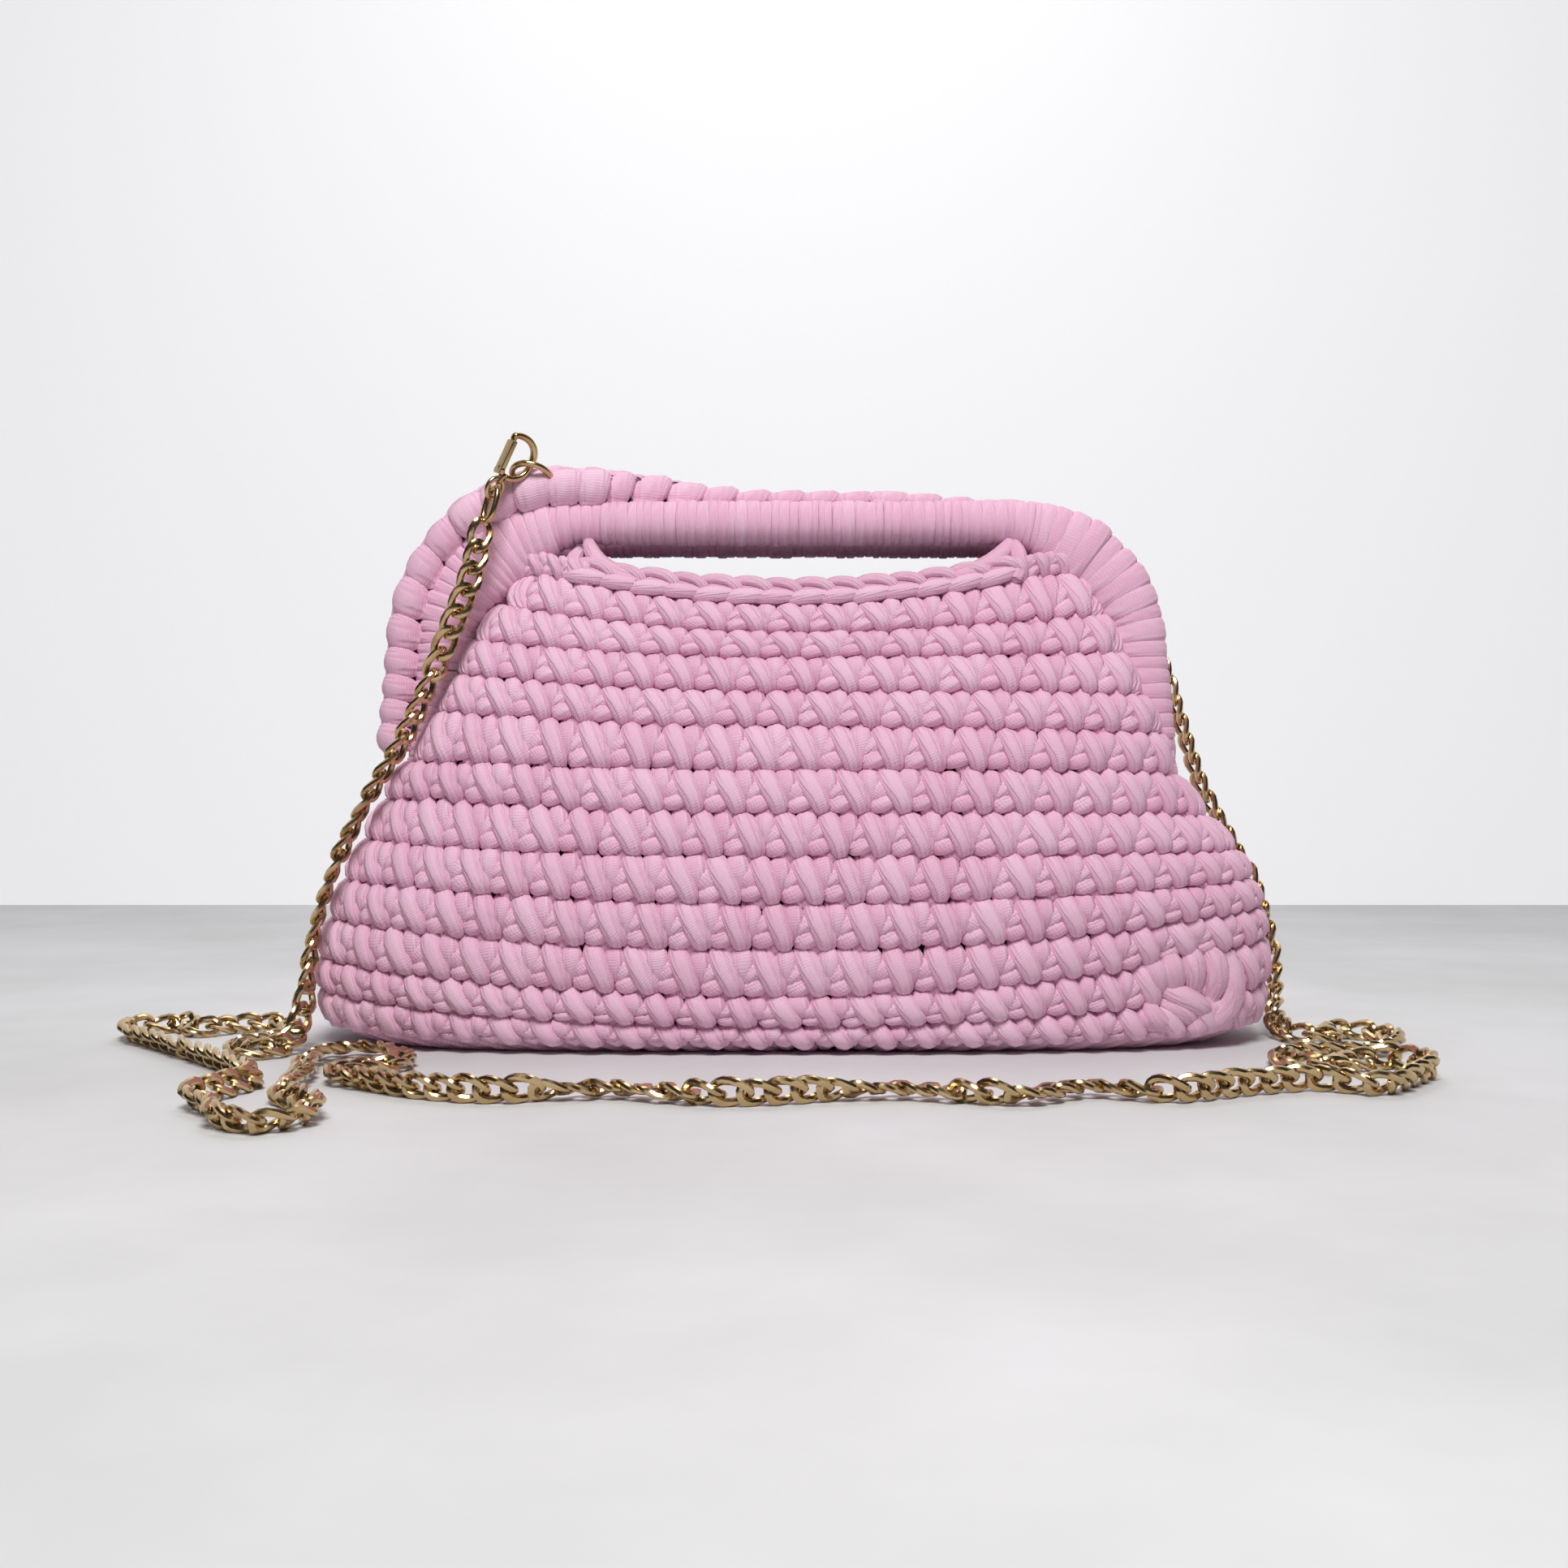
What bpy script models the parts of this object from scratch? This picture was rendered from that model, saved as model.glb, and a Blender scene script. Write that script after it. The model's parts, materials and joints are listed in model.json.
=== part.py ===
"""Crochet bag: a soft crochet pouch between two wound arch frames, with a gold clasp and a chain strap.

The bag stands on its flat base with its front towards -Y. The origin is the middle of the base.
"""

import math

import bmesh
import bpy
import numpy as np
from mathutils import Matrix, Vector

CLEARANCE = 0.0003

# Pouch: overall size, wall of doubled jersey yarn, and the rows that ring it
BAG_WIDTH = 0.310
BAG_DEPTH = 0.105
WALL = 0.009
BASE_WALL = 0.009
SIDE_RIM_HEIGHT = 0.088
SIDE_NOTCH_DEPTH = 0.0274
ROW_HEIGHT = 0.0139
ROW_RELIEF = 0.0016
COLUMNS = 52

# Arch frames: one in front and one behind, each a bar bent down at both ends and wound with yarn
FRAME_SPAN = 0.222
FRAME_OFFSET = 0.015
FRAME_SHIFT = 0.0026
BAR_HEIGHT = 0.166
CORNER_RADIUS = 0.041
BAR_THICKNESS = 0.0143
ARCH_THICKNESS = 0.0185
FRAME_DEPTH = 0.0144
LEG_END_HEIGHT = 0.080
LEG_SPLAY = 0.004
FRAME_SIDES = 12

# Edging: the row of stitch heads that closes the winding along each frame
EDGING_THICKNESS = 0.0094
EDGING_WIDTH = 0.0098
EDGING_SIDES = 8

# Rim braid: the chain stitches along the top edge of each panel
RIM_DIP = 0.01835
BRAID_WIDTH = 0.0095
BRAID_THICKNESS = 0.0080
BRAID_LINKS = 14
BRAID_SIDES = 8

# Rings, clasp and end link
RING_RADIUS = 0.00635
RING_WIRE = 0.0010
HOOK_LENGTH = 0.0138
HOOK_WIDTH = 0.0092
HOOK_WIRE = 0.0011
GATE_LENGTH = 0.0101
GATE_WIDTH = 0.0042
GATE_THICKNESS = 0.0015
TONGUE_WIDTH = 0.0014
PIN_RADIUS = 0.00045
EYE_RADIUS = 0.0026
EYE_WIRE = 0.0008
LINK_LENGTH = 0.0128
LINK_WIDTH = 0.0076
LINK_WIRE = 0.00105
REAR_CLASP_LENGTH = 0.0165

# Chain strap, drawn as a cord of its average thickness
CHAIN_RADIUS = 0.0030
CHAIN_POINTS = 84

# Sections of the pouch up to the side rim: shares of SIDE_RIM_HEIGHT, of half of BAG_WIDTH and
# of half of BAG_DEPTH, with the exponent that squares the outline
LOWER_SECTIONS = (
    # height, left, right, depth, squareness
    (0.000, 0.890, 0.920, 0.740, 3.2),
    (0.034, 0.930, 0.962, 0.850, 3.2),
    (0.105, 0.960, 0.998, 0.930, 3.2),
    (0.250, 0.981, 1.019, 0.985, 3.1),
    (0.390, 0.970, 1.017, 1.000, 3.0),
    (0.525, 0.945, 1.002, 1.005, 3.0),
    (0.705, 0.900, 0.955, 0.985, 3.0),
    (0.850, 0.863, 0.900, 0.950, 3.0),
    (1.000, 0.832, 0.845, 0.900, 3.1),
)

# Sections of the panels above the side rim: shares of the rise from the side rim to the bar, of the
# frame's outer half-span and of the distance from the middle plane to the frame's front
UPPER_SECTIONS = (
    # height, left, right, depth, squareness
    (0.170, 1.030, 1.020, 2.000, 3.4),
    (0.380, 1.000, 1.000, 1.790, 3.8),
    (0.590, 0.970, 0.970, 1.500, 4.0),
    (0.800, 0.940, 0.940, 1.230, 4.0),
    (1.000, 0.920, 0.920, 1.060, 4.0),
)

# Edge of each panel beside the frame: shares of the frame's outer half-span and of the rise from the
# side rim to the bar, from the side rim up to the end of the braid
PANEL_EDGE = (
    # across, height
    (1.120, 0.000),
    (1.035, 0.000),
    (1.010, 0.085),
    (0.945, 0.230),
    (0.900, 0.390),
    (0.815, 0.680),
    (0.700, 0.890),
    (0.582, 0.985),
)

# Point of that edge which the gap between the panels reaches in to
NOTCH_POINT = 6

# Hollows pressed into the front of the pouch: place as shares of half of BAG_WIDTH and of
# SIDE_RIM_HEIGHT, reach and depth as shares of ROW_HEIGHT
DENTS = (
    # across, height, reach, depth
    (0.800, 0.230, 1.40, 0.36),
    (0.560, 0.160, 1.30, 0.14),
    (-0.600, 0.900, 1.60, 0.12),
)

# Turn of the front edging about its frame, along the frame from the left leg's foot to the right's:
# 0 points outwards, negative to the front and positive to the back
FRONT_TURN = (
    # share of the frame's length, degrees
    (0.00, 0.0),
    (0.19, 0.0),
    (0.28, -16.0),
    (0.34, -6.0),
    (0.41, 52.0),
    (0.60, 60.0),
    (0.72, 84.0),
    (0.86, 84.0),
    (1.00, 72.0),
)
REAR_TURN = (
    # share of the frame's length, degrees
    (0.00, 28.0),
    (0.17, 30.0),
    (0.34, 50.0),
    (0.66, 50.0),
    (0.83, 30.0),
    (1.00, 28.0),
)

# Directions of the clasp: along the gate, from the gate to the hook's back, and along the pivot pin
GATE_AXIS = Vector((0.416, 0.0, 0.909)).normalized()
PIN_AXIS = GATE_AXIS.cross(Vector((0.685, 0.658, -0.313))).normalized()
HOOK_SIDE = PIN_AXIS.cross(GATE_AXIS)

# Hook's middle line from the tongue at the pivot round the back to the nose: shares of HOOK_LENGTH
# along the gate and of HOOK_WIDTH across
HOOK_LINE = (
    # along, across
    (-0.100, 0.30),
    (-0.060, 0.54),
    (0.060, 0.79),
    (0.230, 0.95),
    (0.430, 1.00),
    (0.640, 0.97),
    (0.800, 0.84),
    (0.900, 0.60),
    (0.920, 0.34),
    (0.890, 0.10),
    (0.830, 0.00),
    (0.756, 0.00),
)
EYE_PLACE = (-0.42, 0.13)

# Rings on the corners of the frames: degrees from the top of the corner, how far outside the bar's
# winding as a share of EDGING_THICKNESS, and how far from the frame's middle as a share of FRAME_DEPTH
LEFT_RING_PLACE = (-13.0, 0.883, 0.382)
REAR_RING_PLACE = (21.1, -0.276, 0.972)

# Where the left ring passes through the hook: shares of HOOK_LENGTH along the gate, of HOOK_WIDTH
# across and of HOOK_WIRE along the pin
RING_PASS = (0.229, 0.600, 0.830)

# Directions of the left ring: across, and up towards the front
RING_ACROSS = Vector((0.99, 0.0, -0.14)).normalized()
RING_UP = Vector((0.0, -0.87, 0.50)).normalized()

# Directions of the rear ring and clasp: along the clasp away from the ring, and up
REAR_CLASP_AXIS = Vector((0.814, 0.229, -0.534)).normalized()
REAR_CLASP_UP = Vector((0, 1, 0)).cross(REAR_CLASP_AXIS).normalized()

# Route of the chain from the clasp's end link to the rear clasp, chosen by eye
CHAIN_ROUTE = (
    (-0.0970, -0.0312, 0.1490),
    (-0.1030, -0.0310, 0.1330),
    (-0.1095, -0.0305, 0.1170),
    (-0.1185, -0.0305, 0.0970),
    (-0.1300, -0.0295, 0.0780),
    (-0.1385, -0.0285, 0.0615),
    (-0.1450, -0.0280, 0.0440),
    (-0.1480, -0.0300, 0.0280),
    (-0.1485, -0.0350, 0.0140),
    (-0.1500, -0.0430, 0.0050),
    (-0.1550, -0.0520, 0.0032),
    (-0.1630, -0.0515, 0.0031),
    (-0.1670, -0.0400, 0.0031),
    (-0.1610, -0.0250, 0.0031),
    (-0.1600, -0.0080, 0.0031),
    (-0.1690, 0.0050, 0.0031),
    (-0.1810, 0.0010, 0.0031),
    (-0.1900, -0.0080, 0.0031),
    (-0.2000, 0.0020, 0.0031),
    (-0.2110, -0.0030, 0.0031),
    (-0.2100, -0.0170, 0.0031),
    (-0.1990, -0.0310, 0.0031),
    (-0.1850, -0.0470, 0.0031),
    (-0.1690, -0.0660, 0.0031),
    (-0.1540, -0.0850, 0.0031),
    (-0.1440, -0.1000, 0.0031),
    (-0.1470, -0.1150, 0.0031),
    (-0.1500, -0.1300, 0.0031),
    (-0.1400, -0.1430, 0.0031),
    (-0.1340, -0.1570, 0.0031),
    (-0.1230, -0.1620, 0.0031),
    (-0.1150, -0.1500, 0.0031),
    (-0.1200, -0.1350, 0.0031),
    (-0.1290, -0.1230, 0.0031),
    (-0.1320, -0.1060, 0.0031),
    (-0.1340, -0.0870, 0.0031),
    (-0.1380, -0.0680, 0.0031),
    (-0.1340, -0.0520, 0.0031),
    (-0.1230, -0.0490, 0.0031),
    (-0.1130, -0.0600, 0.0031),
    (-0.1110, -0.0750, 0.0031),
    (-0.1200, -0.0830, 0.0031),
    (-0.1230, -0.0940, 0.0031),
    (-0.1120, -0.1060, 0.0031),
    (-0.0950, -0.1180, 0.0031),
    (-0.0740, -0.1240, 0.0031),
    (-0.0460, -0.1170, 0.0031),
    (-0.0140, -0.1280, 0.0031),
    (0.0300, -0.1180, 0.0031),
    (0.0590, -0.1270, 0.0031),
    (0.0800, -0.1150, 0.0031),
    (0.1010, -0.1230, 0.0031),
    (0.1210, -0.1140, 0.0031),
    (0.1420, -0.1070, 0.0031),
    (0.1570, -0.1130, 0.0031),
    (0.1710, -0.1000, 0.0031),
    (0.1810, -0.0840, 0.0031),
    (0.1770, -0.0700, 0.0031),
    (0.1660, -0.0720, 0.0031),
    (0.1550, -0.0790, 0.0031),
    (0.1450, -0.0700, 0.0031),
    (0.1490, -0.0570, 0.0031),
    (0.1620, -0.0540, 0.0031),
    (0.1760, -0.0500, 0.0031),
    (0.1880, -0.0360, 0.0031),
    (0.1900, -0.0190, 0.0031),
    (0.1800, -0.0110, 0.0031),
    (0.1710, -0.0220, 0.0031),
    (0.1620, -0.0200, 0.0034),
    (0.1600, -0.0080, 0.0055),
    (0.1630, 0.0040, 0.0120),
    (0.1645, 0.0110, 0.0220),
    (0.1640, 0.0160, 0.0350),
    (0.1600, 0.0210, 0.0500),
    (0.1530, 0.0250, 0.0650),
    (0.1455, 0.0290, 0.0800),
    (0.1400, 0.0320, 0.0980),
    (0.1350, 0.0340, 0.1160),
    (0.1280, 0.0350, 0.1330),
    (0.1170, 0.0345, 0.1480),
)

# Sizes that follow from those above
HALF_WIDTH = BAG_WIDTH / 2
HALF_DEPTH = BAG_DEPTH / 2
BAR_UNDERSIDE = BAR_HEIGHT - BAR_THICKNESS / 2
PANEL_RISE = BAR_UNDERSIDE - SIDE_RIM_HEIGHT
FRAME_HALF_OUTER = FRAME_SPAN / 2 + ARCH_THICKNESS / 2
FRAME_FRONT = FRAME_OFFSET + FRAME_DEPTH / 2
RIM_HALF_LENGTH = PANEL_EDGE[-1][0] * FRAME_HALF_OUTER
RIM_DIP_HEIGHT = BAR_UNDERSIDE - RIM_DIP

YARN_COLOUR = (0.80, 0.47, 0.65, 1.0)
GOLD_COLOUR = (0.83, 0.66, 0.40, 1.0)


def clear_scene():
    for old in list(bpy.data.objects):
        bpy.data.objects.remove(old)


def principled(name, colour, roughness, metallic):
    material = bpy.data.materials.new(name)
    material.use_nodes = True
    shader = material.node_tree.nodes["Principled BSDF"]
    shader.inputs["Base Color"].default_value = colour
    shader.inputs["Roughness"].default_value = roughness
    shader.inputs["Metallic"].default_value = metallic
    return material


def add_mesh(name, mesh, material, sharp_angle=50.0):
    mesh.materials.append(material)
    mesh.shade_smooth()
    mesh.set_sharp_from_angle(angle=math.radians(sharp_angle))
    part = bpy.data.objects.new(name, mesh)
    bpy.context.scene.collection.objects.link(part)
    return part


def mesh_of(bm, name):
    bmesh.ops.recalc_face_normals(bm, faces=bm.faces)
    mesh = bpy.data.meshes.new(name)
    bm.to_mesh(mesh)
    bm.free()
    return mesh


def smooth_read(places, values, at):
    """Reads a table with a smooth curve through its values."""
    places, values = np.asarray(places, float), np.asarray(values, float)
    slopes = np.gradient(values, places)
    at = np.clip(at, places[0], places[-1])
    span = np.clip(np.searchsorted(places, at, side="right") - 1, 0, len(places) - 2)
    width = places[span + 1] - places[span]
    share = (at - places[span]) / width
    square, cube = share**2, share**3
    return (
        (2 * cube - 3 * square + 1) * values[span]
        + (cube - 2 * square + share) * width * slopes[span]
        + (3 * square - 2 * cube) * values[span + 1]
        + (cube - square) * width * slopes[span + 1]
    )


def pouch_sections():
    """Rows of (height, left half-width, right half-width, half-depth, squareness) in metres."""
    rows = [
        (h * SIDE_RIM_HEIGHT, left * HALF_WIDTH, right * HALF_WIDTH, depth * HALF_DEPTH, square)
        for h, left, right, depth, square in LOWER_SECTIONS
    ]
    for h, left, right, depth, square in UPPER_SECTIONS:
        height = SIDE_RIM_HEIGHT + h * PANEL_RISE
        left_width = left * FRAME_HALF_OUTER - FRAME_SHIFT
        right_width = right * FRAME_HALF_OUTER + FRAME_SHIFT
        rows.append((height, left_width, right_width, depth * FRAME_FRONT, square))
    return np.array(rows)


SECTIONS = pouch_sections()
POUCH_TOP = SECTIONS[-1, 0]


def ring_centre(side, place):
    """Centre of the ring that hangs on one top corner of a frame."""
    turn, outside, aside = place
    reach = CORNER_RADIUS + BAR_THICKNESS / 2 + outside * EDGING_THICKNESS
    angle = math.radians(turn)
    across = math.copysign(FRAME_SPAN / 2 - CORNER_RADIUS, turn) + reach * math.sin(angle)
    height = BAR_HEIGHT - CORNER_RADIUS + reach * math.cos(angle)
    return Vector((FRAME_SHIFT + across, side * (FRAME_OFFSET + aside * FRAME_DEPTH), height))


def pivot_place():
    """The gate's pivot lies where the hook then holds the left ring."""
    along, across, over = RING_PASS
    to_ring = HOOK_SIDE * (across * HOOK_WIDTH + RING_RADIUS)
    return LEFT_RING_CENTRE - GATE_AXIS * along * HOOK_LENGTH - to_ring - PIN_AXIS * over * HOOK_WIRE


LEFT_RING_CENTRE = ring_centre(-1, LEFT_RING_PLACE)
REAR_RING_CENTRE = ring_centre(1, REAR_RING_PLACE)
PIVOT = pivot_place()


def section_ring(height, inset=0.0, columns=COLUMNS):
    """Points round the pouch at one height, evenly spaced from the middle of the front, as (x, y)."""
    left, right, depth, square = (
        float(smooth_read(SECTIONS[:, 0], SECTIONS[:, k], height)) for k in range(1, 5)
    )
    ring = []
    for half_width, start in ((right - inset, -90.0), (left - inset, 90.0)):
        angle = np.radians(np.linspace(start, start + 180.0, 721))
        power = 2.0 / square
        x = half_width * np.sign(np.cos(angle)) * np.abs(np.cos(angle)) ** power
        y = (depth - inset) * np.sign(np.sin(angle)) * np.abs(np.sin(angle)) ** power
        length = np.concatenate([[0.0], np.cumsum(np.hypot(np.diff(x), np.diff(y)))])
        wanted = np.linspace(0.0, length[-1], columns // 2 + 1)[:-1]
        ring += list(zip(np.interp(wanted, length, x), np.interp(wanted, length, y)))
    return np.array(ring)


def dent_depth(x, y, z):
    """How far the hollows press the front of the pouch in at a point."""
    depth = 0.0
    for across, height, reach, deep in DENTS:
        away = math.hypot(x - across * HALF_WIDTH, z - height * SIDE_RIM_HEIGHT)
        if y < 0.0:
            depth += deep * ROW_HEIGHT * math.exp(-((away / (reach * ROW_HEIGHT)) ** 2) * 2.0)
    return depth


def row_relief(height):
    """Each crochet row swells between the grooves above and below it."""
    return ROW_RELIEF * (abs(math.sin(math.pi * height / ROW_HEIGHT)) - 1.0)


def pouch_mesh():
    """A closed cup: rings up the outside, over the top and down the inside."""
    half_rows = int(POUCH_TOP / (ROW_HEIGHT / 2))
    outer_heights = [k * ROW_HEIGHT / 2 for k in range(half_rows)] + [POUCH_TOP]
    inner_heights = [
        POUCH_TOP + (BASE_WALL - POUCH_TOP) * k / (half_rows // 3) for k in range(half_rows // 3 + 1)
    ]
    bm = bmesh.new()
    rings = []
    for height in outer_heights:
        relief = row_relief(height)
        ring = []
        for x, y in section_ring(height):
            away = math.hypot(x, y)
            inwards = relief - dent_depth(x, y, height)
            ring.append(bm.verts.new((x + x / away * inwards, y + y / away * inwards, height)))
        rings.append(ring)
    for height in inner_heights:
        rings.append([bm.verts.new((x, y, height)) for x, y in section_ring(height, WALL)])
    for lower, upper in zip(rings, rings[1:]):
        for k in range(COLUMNS):
            after = (k + 1) % COLUMNS
            bm.faces.new((lower[k], lower[after], upper[after], upper[k]))
    for ring, height in ((rings[0], 0.0), (rings[-1], BASE_WALL)):
        middle = bm.verts.new((0.0, 0.0, height))
        for k in range(COLUMNS):
            bm.faces.new((ring[k], ring[(k + 1) % COLUMNS], middle))
    return mesh_of(bm, "pouch")


def rim_height(x):
    """Height of the rim braid's seat at a place across the panel."""
    share = (x - FRAME_SHIFT) / RIM_HALF_LENGTH
    top = SIDE_RIM_HEIGHT + PANEL_EDGE[-1][1] * PANEL_RISE - BRAID_WIDTH
    return RIM_DIP_HEIGHT + (top - RIM_DIP_HEIGHT) * share**2


def rim_outline():
    """Outline, seen from the front, of all that is cut away above the pouch."""
    edge = [
        (across * FRAME_HALF_OUTER, SIDE_RIM_HEIGHT + height * PANEL_RISE) for across, height in PANEL_EDGE
    ]
    seat = [FRAME_SHIFT + RIM_HALF_LENGTH * k / 8 for k in range(-8, 9)]
    left = [(FRAME_SHIFT - x, z) for x, z in edge]
    right = [(FRAME_SHIFT + x, z) for x, z in reversed(edge)]
    over = POUCH_TOP + WALL
    far = 2 * BAG_WIDTH
    start = [(-far, over), (-far, SIDE_RIM_HEIGHT)]
    finish = [(far, SIDE_RIM_HEIGHT), (far, over)]
    return start + left[1:] + [(x, rim_height(x)) for x in seat] + right[:-1] + finish


def rim_cut_mesh():
    """All that is cut away above the pouch; between the panels the cut goes further in at both sides."""
    outline = rim_outline()
    left_foot, right_foot = 2, len(outline) - 3
    left_inner, right_inner = left_foot + NOTCH_POINT - 1, right_foot - NOTCH_POINT + 1
    bm = bmesh.new()
    planes, corners = [], []
    for y in (-BAG_DEPTH, -SIDE_NOTCH_DEPTH / 2, SIDE_NOTCH_DEPTH / 2, BAG_DEPTH):
        planes.append([bm.verts.new((x, y, z)) for x, z in outline])
    for plane in planes[1:3]:
        pair = [plane[left_inner].co, plane[right_inner].co]
        corners.append([bm.verts.new((place.x, place.y, SIDE_RIM_HEIGHT)) for place in pair])
    narrow = []
    for plane, (left, right) in zip(planes[1:3], corners):
        middle = plane[left_inner : right_inner + 1]
        narrow.append([*plane[: left_foot + 1], left, *middle, right, *plane[right_foot:]])
        bm.faces.new([*plane[left_foot : left_inner + 1], left])
        bm.faces.new([*plane[right_inner : right_foot + 1], right])
    for near, far in ((planes[0], planes[1]), narrow, (planes[2], planes[3])):
        for k in range(len(near)):
            after = (k + 1) % len(near)
            bm.faces.new((near[after], near[k], far[k], far[after]))
    bm.faces.new(planes[0])
    bm.faces.new(planes[3])
    return mesh_of(bm, "rim_cut")


def add_cutter(name, mesh):
    cutter = bpy.data.objects.new(name, mesh)
    bpy.context.scene.collection.objects.link(cutter)
    cutter.hide_render = True
    cutter.display_type = "WIRE"
    return cutter


def boolean(part, other, operation="DIFFERENCE"):
    modifier = part.modifiers.new(other.name, "BOOLEAN")
    modifier.operation = operation
    modifier.object = other


def frame_line(side):
    """Middle line of one frame from its left foot over the bar to its right foot, with what faces outwards.

    Gives rows of (place, outward direction, thickness in the frame's plane)."""
    half = FRAME_SPAN / 2
    leg_top = BAR_HEIGHT - CORNER_RADIUS
    bar_half = half - CORNER_RADIUS
    depth = side * FRAME_OFFSET
    splay = math.atan2(LEG_SPLAY, leg_top - LEG_END_HEIGHT)
    rows = []
    for k in range(4):
        height = LEG_END_HEIGHT + (leg_top - LEG_END_HEIGHT) * k / 4
        out = LEG_SPLAY * (leg_top - height) / (leg_top - LEG_END_HEIGHT)
        rows.append((-half - out, height, Vector((-math.cos(splay), 0, math.sin(splay))), ARCH_THICKNESS))
    steps = 7
    for k in range(steps + 1):
        angle = math.radians(90.0) * k / steps
        outward = Vector((-math.cos(angle), 0, math.sin(angle)))
        thin = max(0.0, (k / steps - 0.6) / 0.4)
        thickness = ARCH_THICKNESS + (BAR_THICKNESS - ARCH_THICKNESS) * thin
        x = -bar_half - CORNER_RADIUS * math.cos(angle)
        z = leg_top + CORNER_RADIUS * math.sin(angle)
        rows.append((x, z, outward, thickness))
    for k in range(1, 4):
        rows.append((-bar_half + bar_half * k / 4, BAR_HEIGHT, Vector((0, 0, 1)), BAR_THICKNESS))
    middle = [(0.0, BAR_HEIGHT, Vector((0, 0, 1)), BAR_THICKNESS)]
    mirrored = [(-x, z, Vector((-out.x, 0, out.z)), thick) for x, z, out, thick in reversed(rows)]
    return [
        (Vector((FRAME_SHIFT + x, depth, z)), outward, thickness)
        for x, z, outward, thickness in rows + middle + mirrored
    ]


def swept(name, rings, closed=False):
    """Skins a list of rings of points; an open sweep gets flat ends."""
    bm = bmesh.new()
    skins = [[bm.verts.new(point) for point in ring] for ring in rings]
    count = len(skins[0])
    pairs = list(zip(skins, skins[1:]))
    if closed:
        pairs.append((skins[-1], skins[0]))
    for lower, upper in pairs:
        for k in range(count):
            after = (k + 1) % count
            bm.faces.new((lower[k], lower[after], upper[after], upper[k]))
    if not closed:
        bm.faces.new(list(reversed(skins[0])))
        bm.faces.new(skins[-1])
    return mesh_of(bm, name)


def ellipse(centre, first, second, half_first, half_second, sides):
    points = []
    for k in range(sides):
        angle = math.tau * (k + 0.5) / sides
        points.append(centre + first * half_first * math.cos(angle) + second * half_second * math.sin(angle))
    return points


def flat_reach(sides):
    """Share of its radius at which a round section with few sides has its flats."""
    return math.cos(math.pi / sides)


def lengthened(rings, extra):
    """Moves both feet of an arch down by the clearance that a groove for it needs."""
    down = Vector((0, 0, -extra))
    return [[point + down for point in rings[0]], *rings[1:-1], [point + down for point in rings[-1]]]


def frame_mesh(side, extra=0.0):
    rings = []
    across = Vector((0, 1, 0))
    for place, outward, thickness in frame_line(side):
        half = thickness / 2 + extra
        rings.append(ellipse(place, outward, across, half, FRAME_DEPTH / 2 + extra, FRAME_SIDES))
    return swept("frame", lengthened(rings, extra))


def edging_mesh(side, turns, extra=0.0):
    """The stitch heads lie against the frame above the pouch, turned about it as the table says."""
    line = frame_line(side)[1:-1]
    lengths = [0.0]
    for (one, _, _), (two, _, _) in zip(line, line[1:]):
        lengths.append(lengths[-1] + (two - one).length)
    shares, degrees = zip(*turns)
    rings = []
    for (place, outward, thickness), length in zip(line, lengths):
        share = length / lengths[-1]
        turn = math.radians(float(np.interp(share, shares, degrees)))
        back = Vector((0, side if side > 0 else 1, 0))
        towards = outward * math.cos(turn) + back * math.sin(turn)
        aside = back * math.cos(turn) - outward * math.sin(turn)
        reach_in = math.cos(turn) / (thickness / 2)
        reach_deep = math.sin(turn) / (FRAME_DEPTH / 2)
        frame_reach = 1.0 / math.hypot(reach_in, reach_deep)
        half_thick = EDGING_THICKNESS / 2
        centre = place + towards * (frame_reach + CLEARANCE + half_thick * flat_reach(EDGING_SIDES))
        half_wide = EDGING_WIDTH / 2
        rings.append(ellipse(centre, towards, aside, half_thick + extra, half_wide + extra, EDGING_SIDES))
    return swept("edging", lengthened(rings, extra))


def panel_depth(height):
    """Distance of a panel's middle from the middle plane of the bag."""
    return float(smooth_read(SECTIONS[:, 0], SECTIONS[:, 3], height)) - WALL / 2


def braid_mesh(side):
    """Chain stitches along the rim, each one a swelling of the braid."""
    rings = []
    steps = BRAID_LINKS * 2
    length = RIM_HALF_LENGTH - BRAID_THICKNESS / 4
    for k in range(steps + 1):
        x = FRAME_SHIFT + length * (2 * k / steps - 1)
        slope = (rim_height(x + WALL / 2) - rim_height(x - WALL / 2)) / WALL
        along = Vector((1, 0, slope)).normalized()
        upward = Vector((-along.z, 0, along.x))
        swell = 1.0 if k % 2 else 0.86
        height = rim_height(x)
        seat = Vector((x, side * panel_depth(height), height))
        centre = seat + upward * (BRAID_WIDTH / 2 * flat_reach(BRAID_SIDES) + CLEARANCE)
        half_width = swell * BRAID_WIDTH / 2
        half_thick = swell * BRAID_THICKNESS / 2
        rings.append(ellipse(centre, upward, Vector((0, 1, 0)), half_width, half_thick, BRAID_SIDES))
    return swept("braid", rings)


def ring_mesh(
    name, centre, first, second, radius, wire, stretch=1.0, squareness=2.0, extra=0.0, around=20, sides=8
):
    """A round, oval or squarish wire ring in the plane of two directions."""
    rings = []
    normal = first.cross(second)
    power = 2.0 / squareness
    for k in range(around):
        angle = math.tau * (k + 0.5) / around
        cos, sin = math.cos(angle), math.sin(angle)
        across = math.copysign(abs(cos) ** power, cos)
        along = math.copysign(abs(sin) ** power, sin)
        place = Vector(centre) + first * radius * across + second * radius * stretch * along
        lean_across = math.copysign(abs(cos) ** (2.0 - power), cos) * stretch
        lean_along = math.copysign(abs(sin) ** (2.0 - power), sin)
        outward = (first * lean_across + second * lean_along).normalized()
        rings.append(ellipse(place, outward, normal, wire + extra, wire + extra, sides))
    return swept(name, rings, closed=True)


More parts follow.
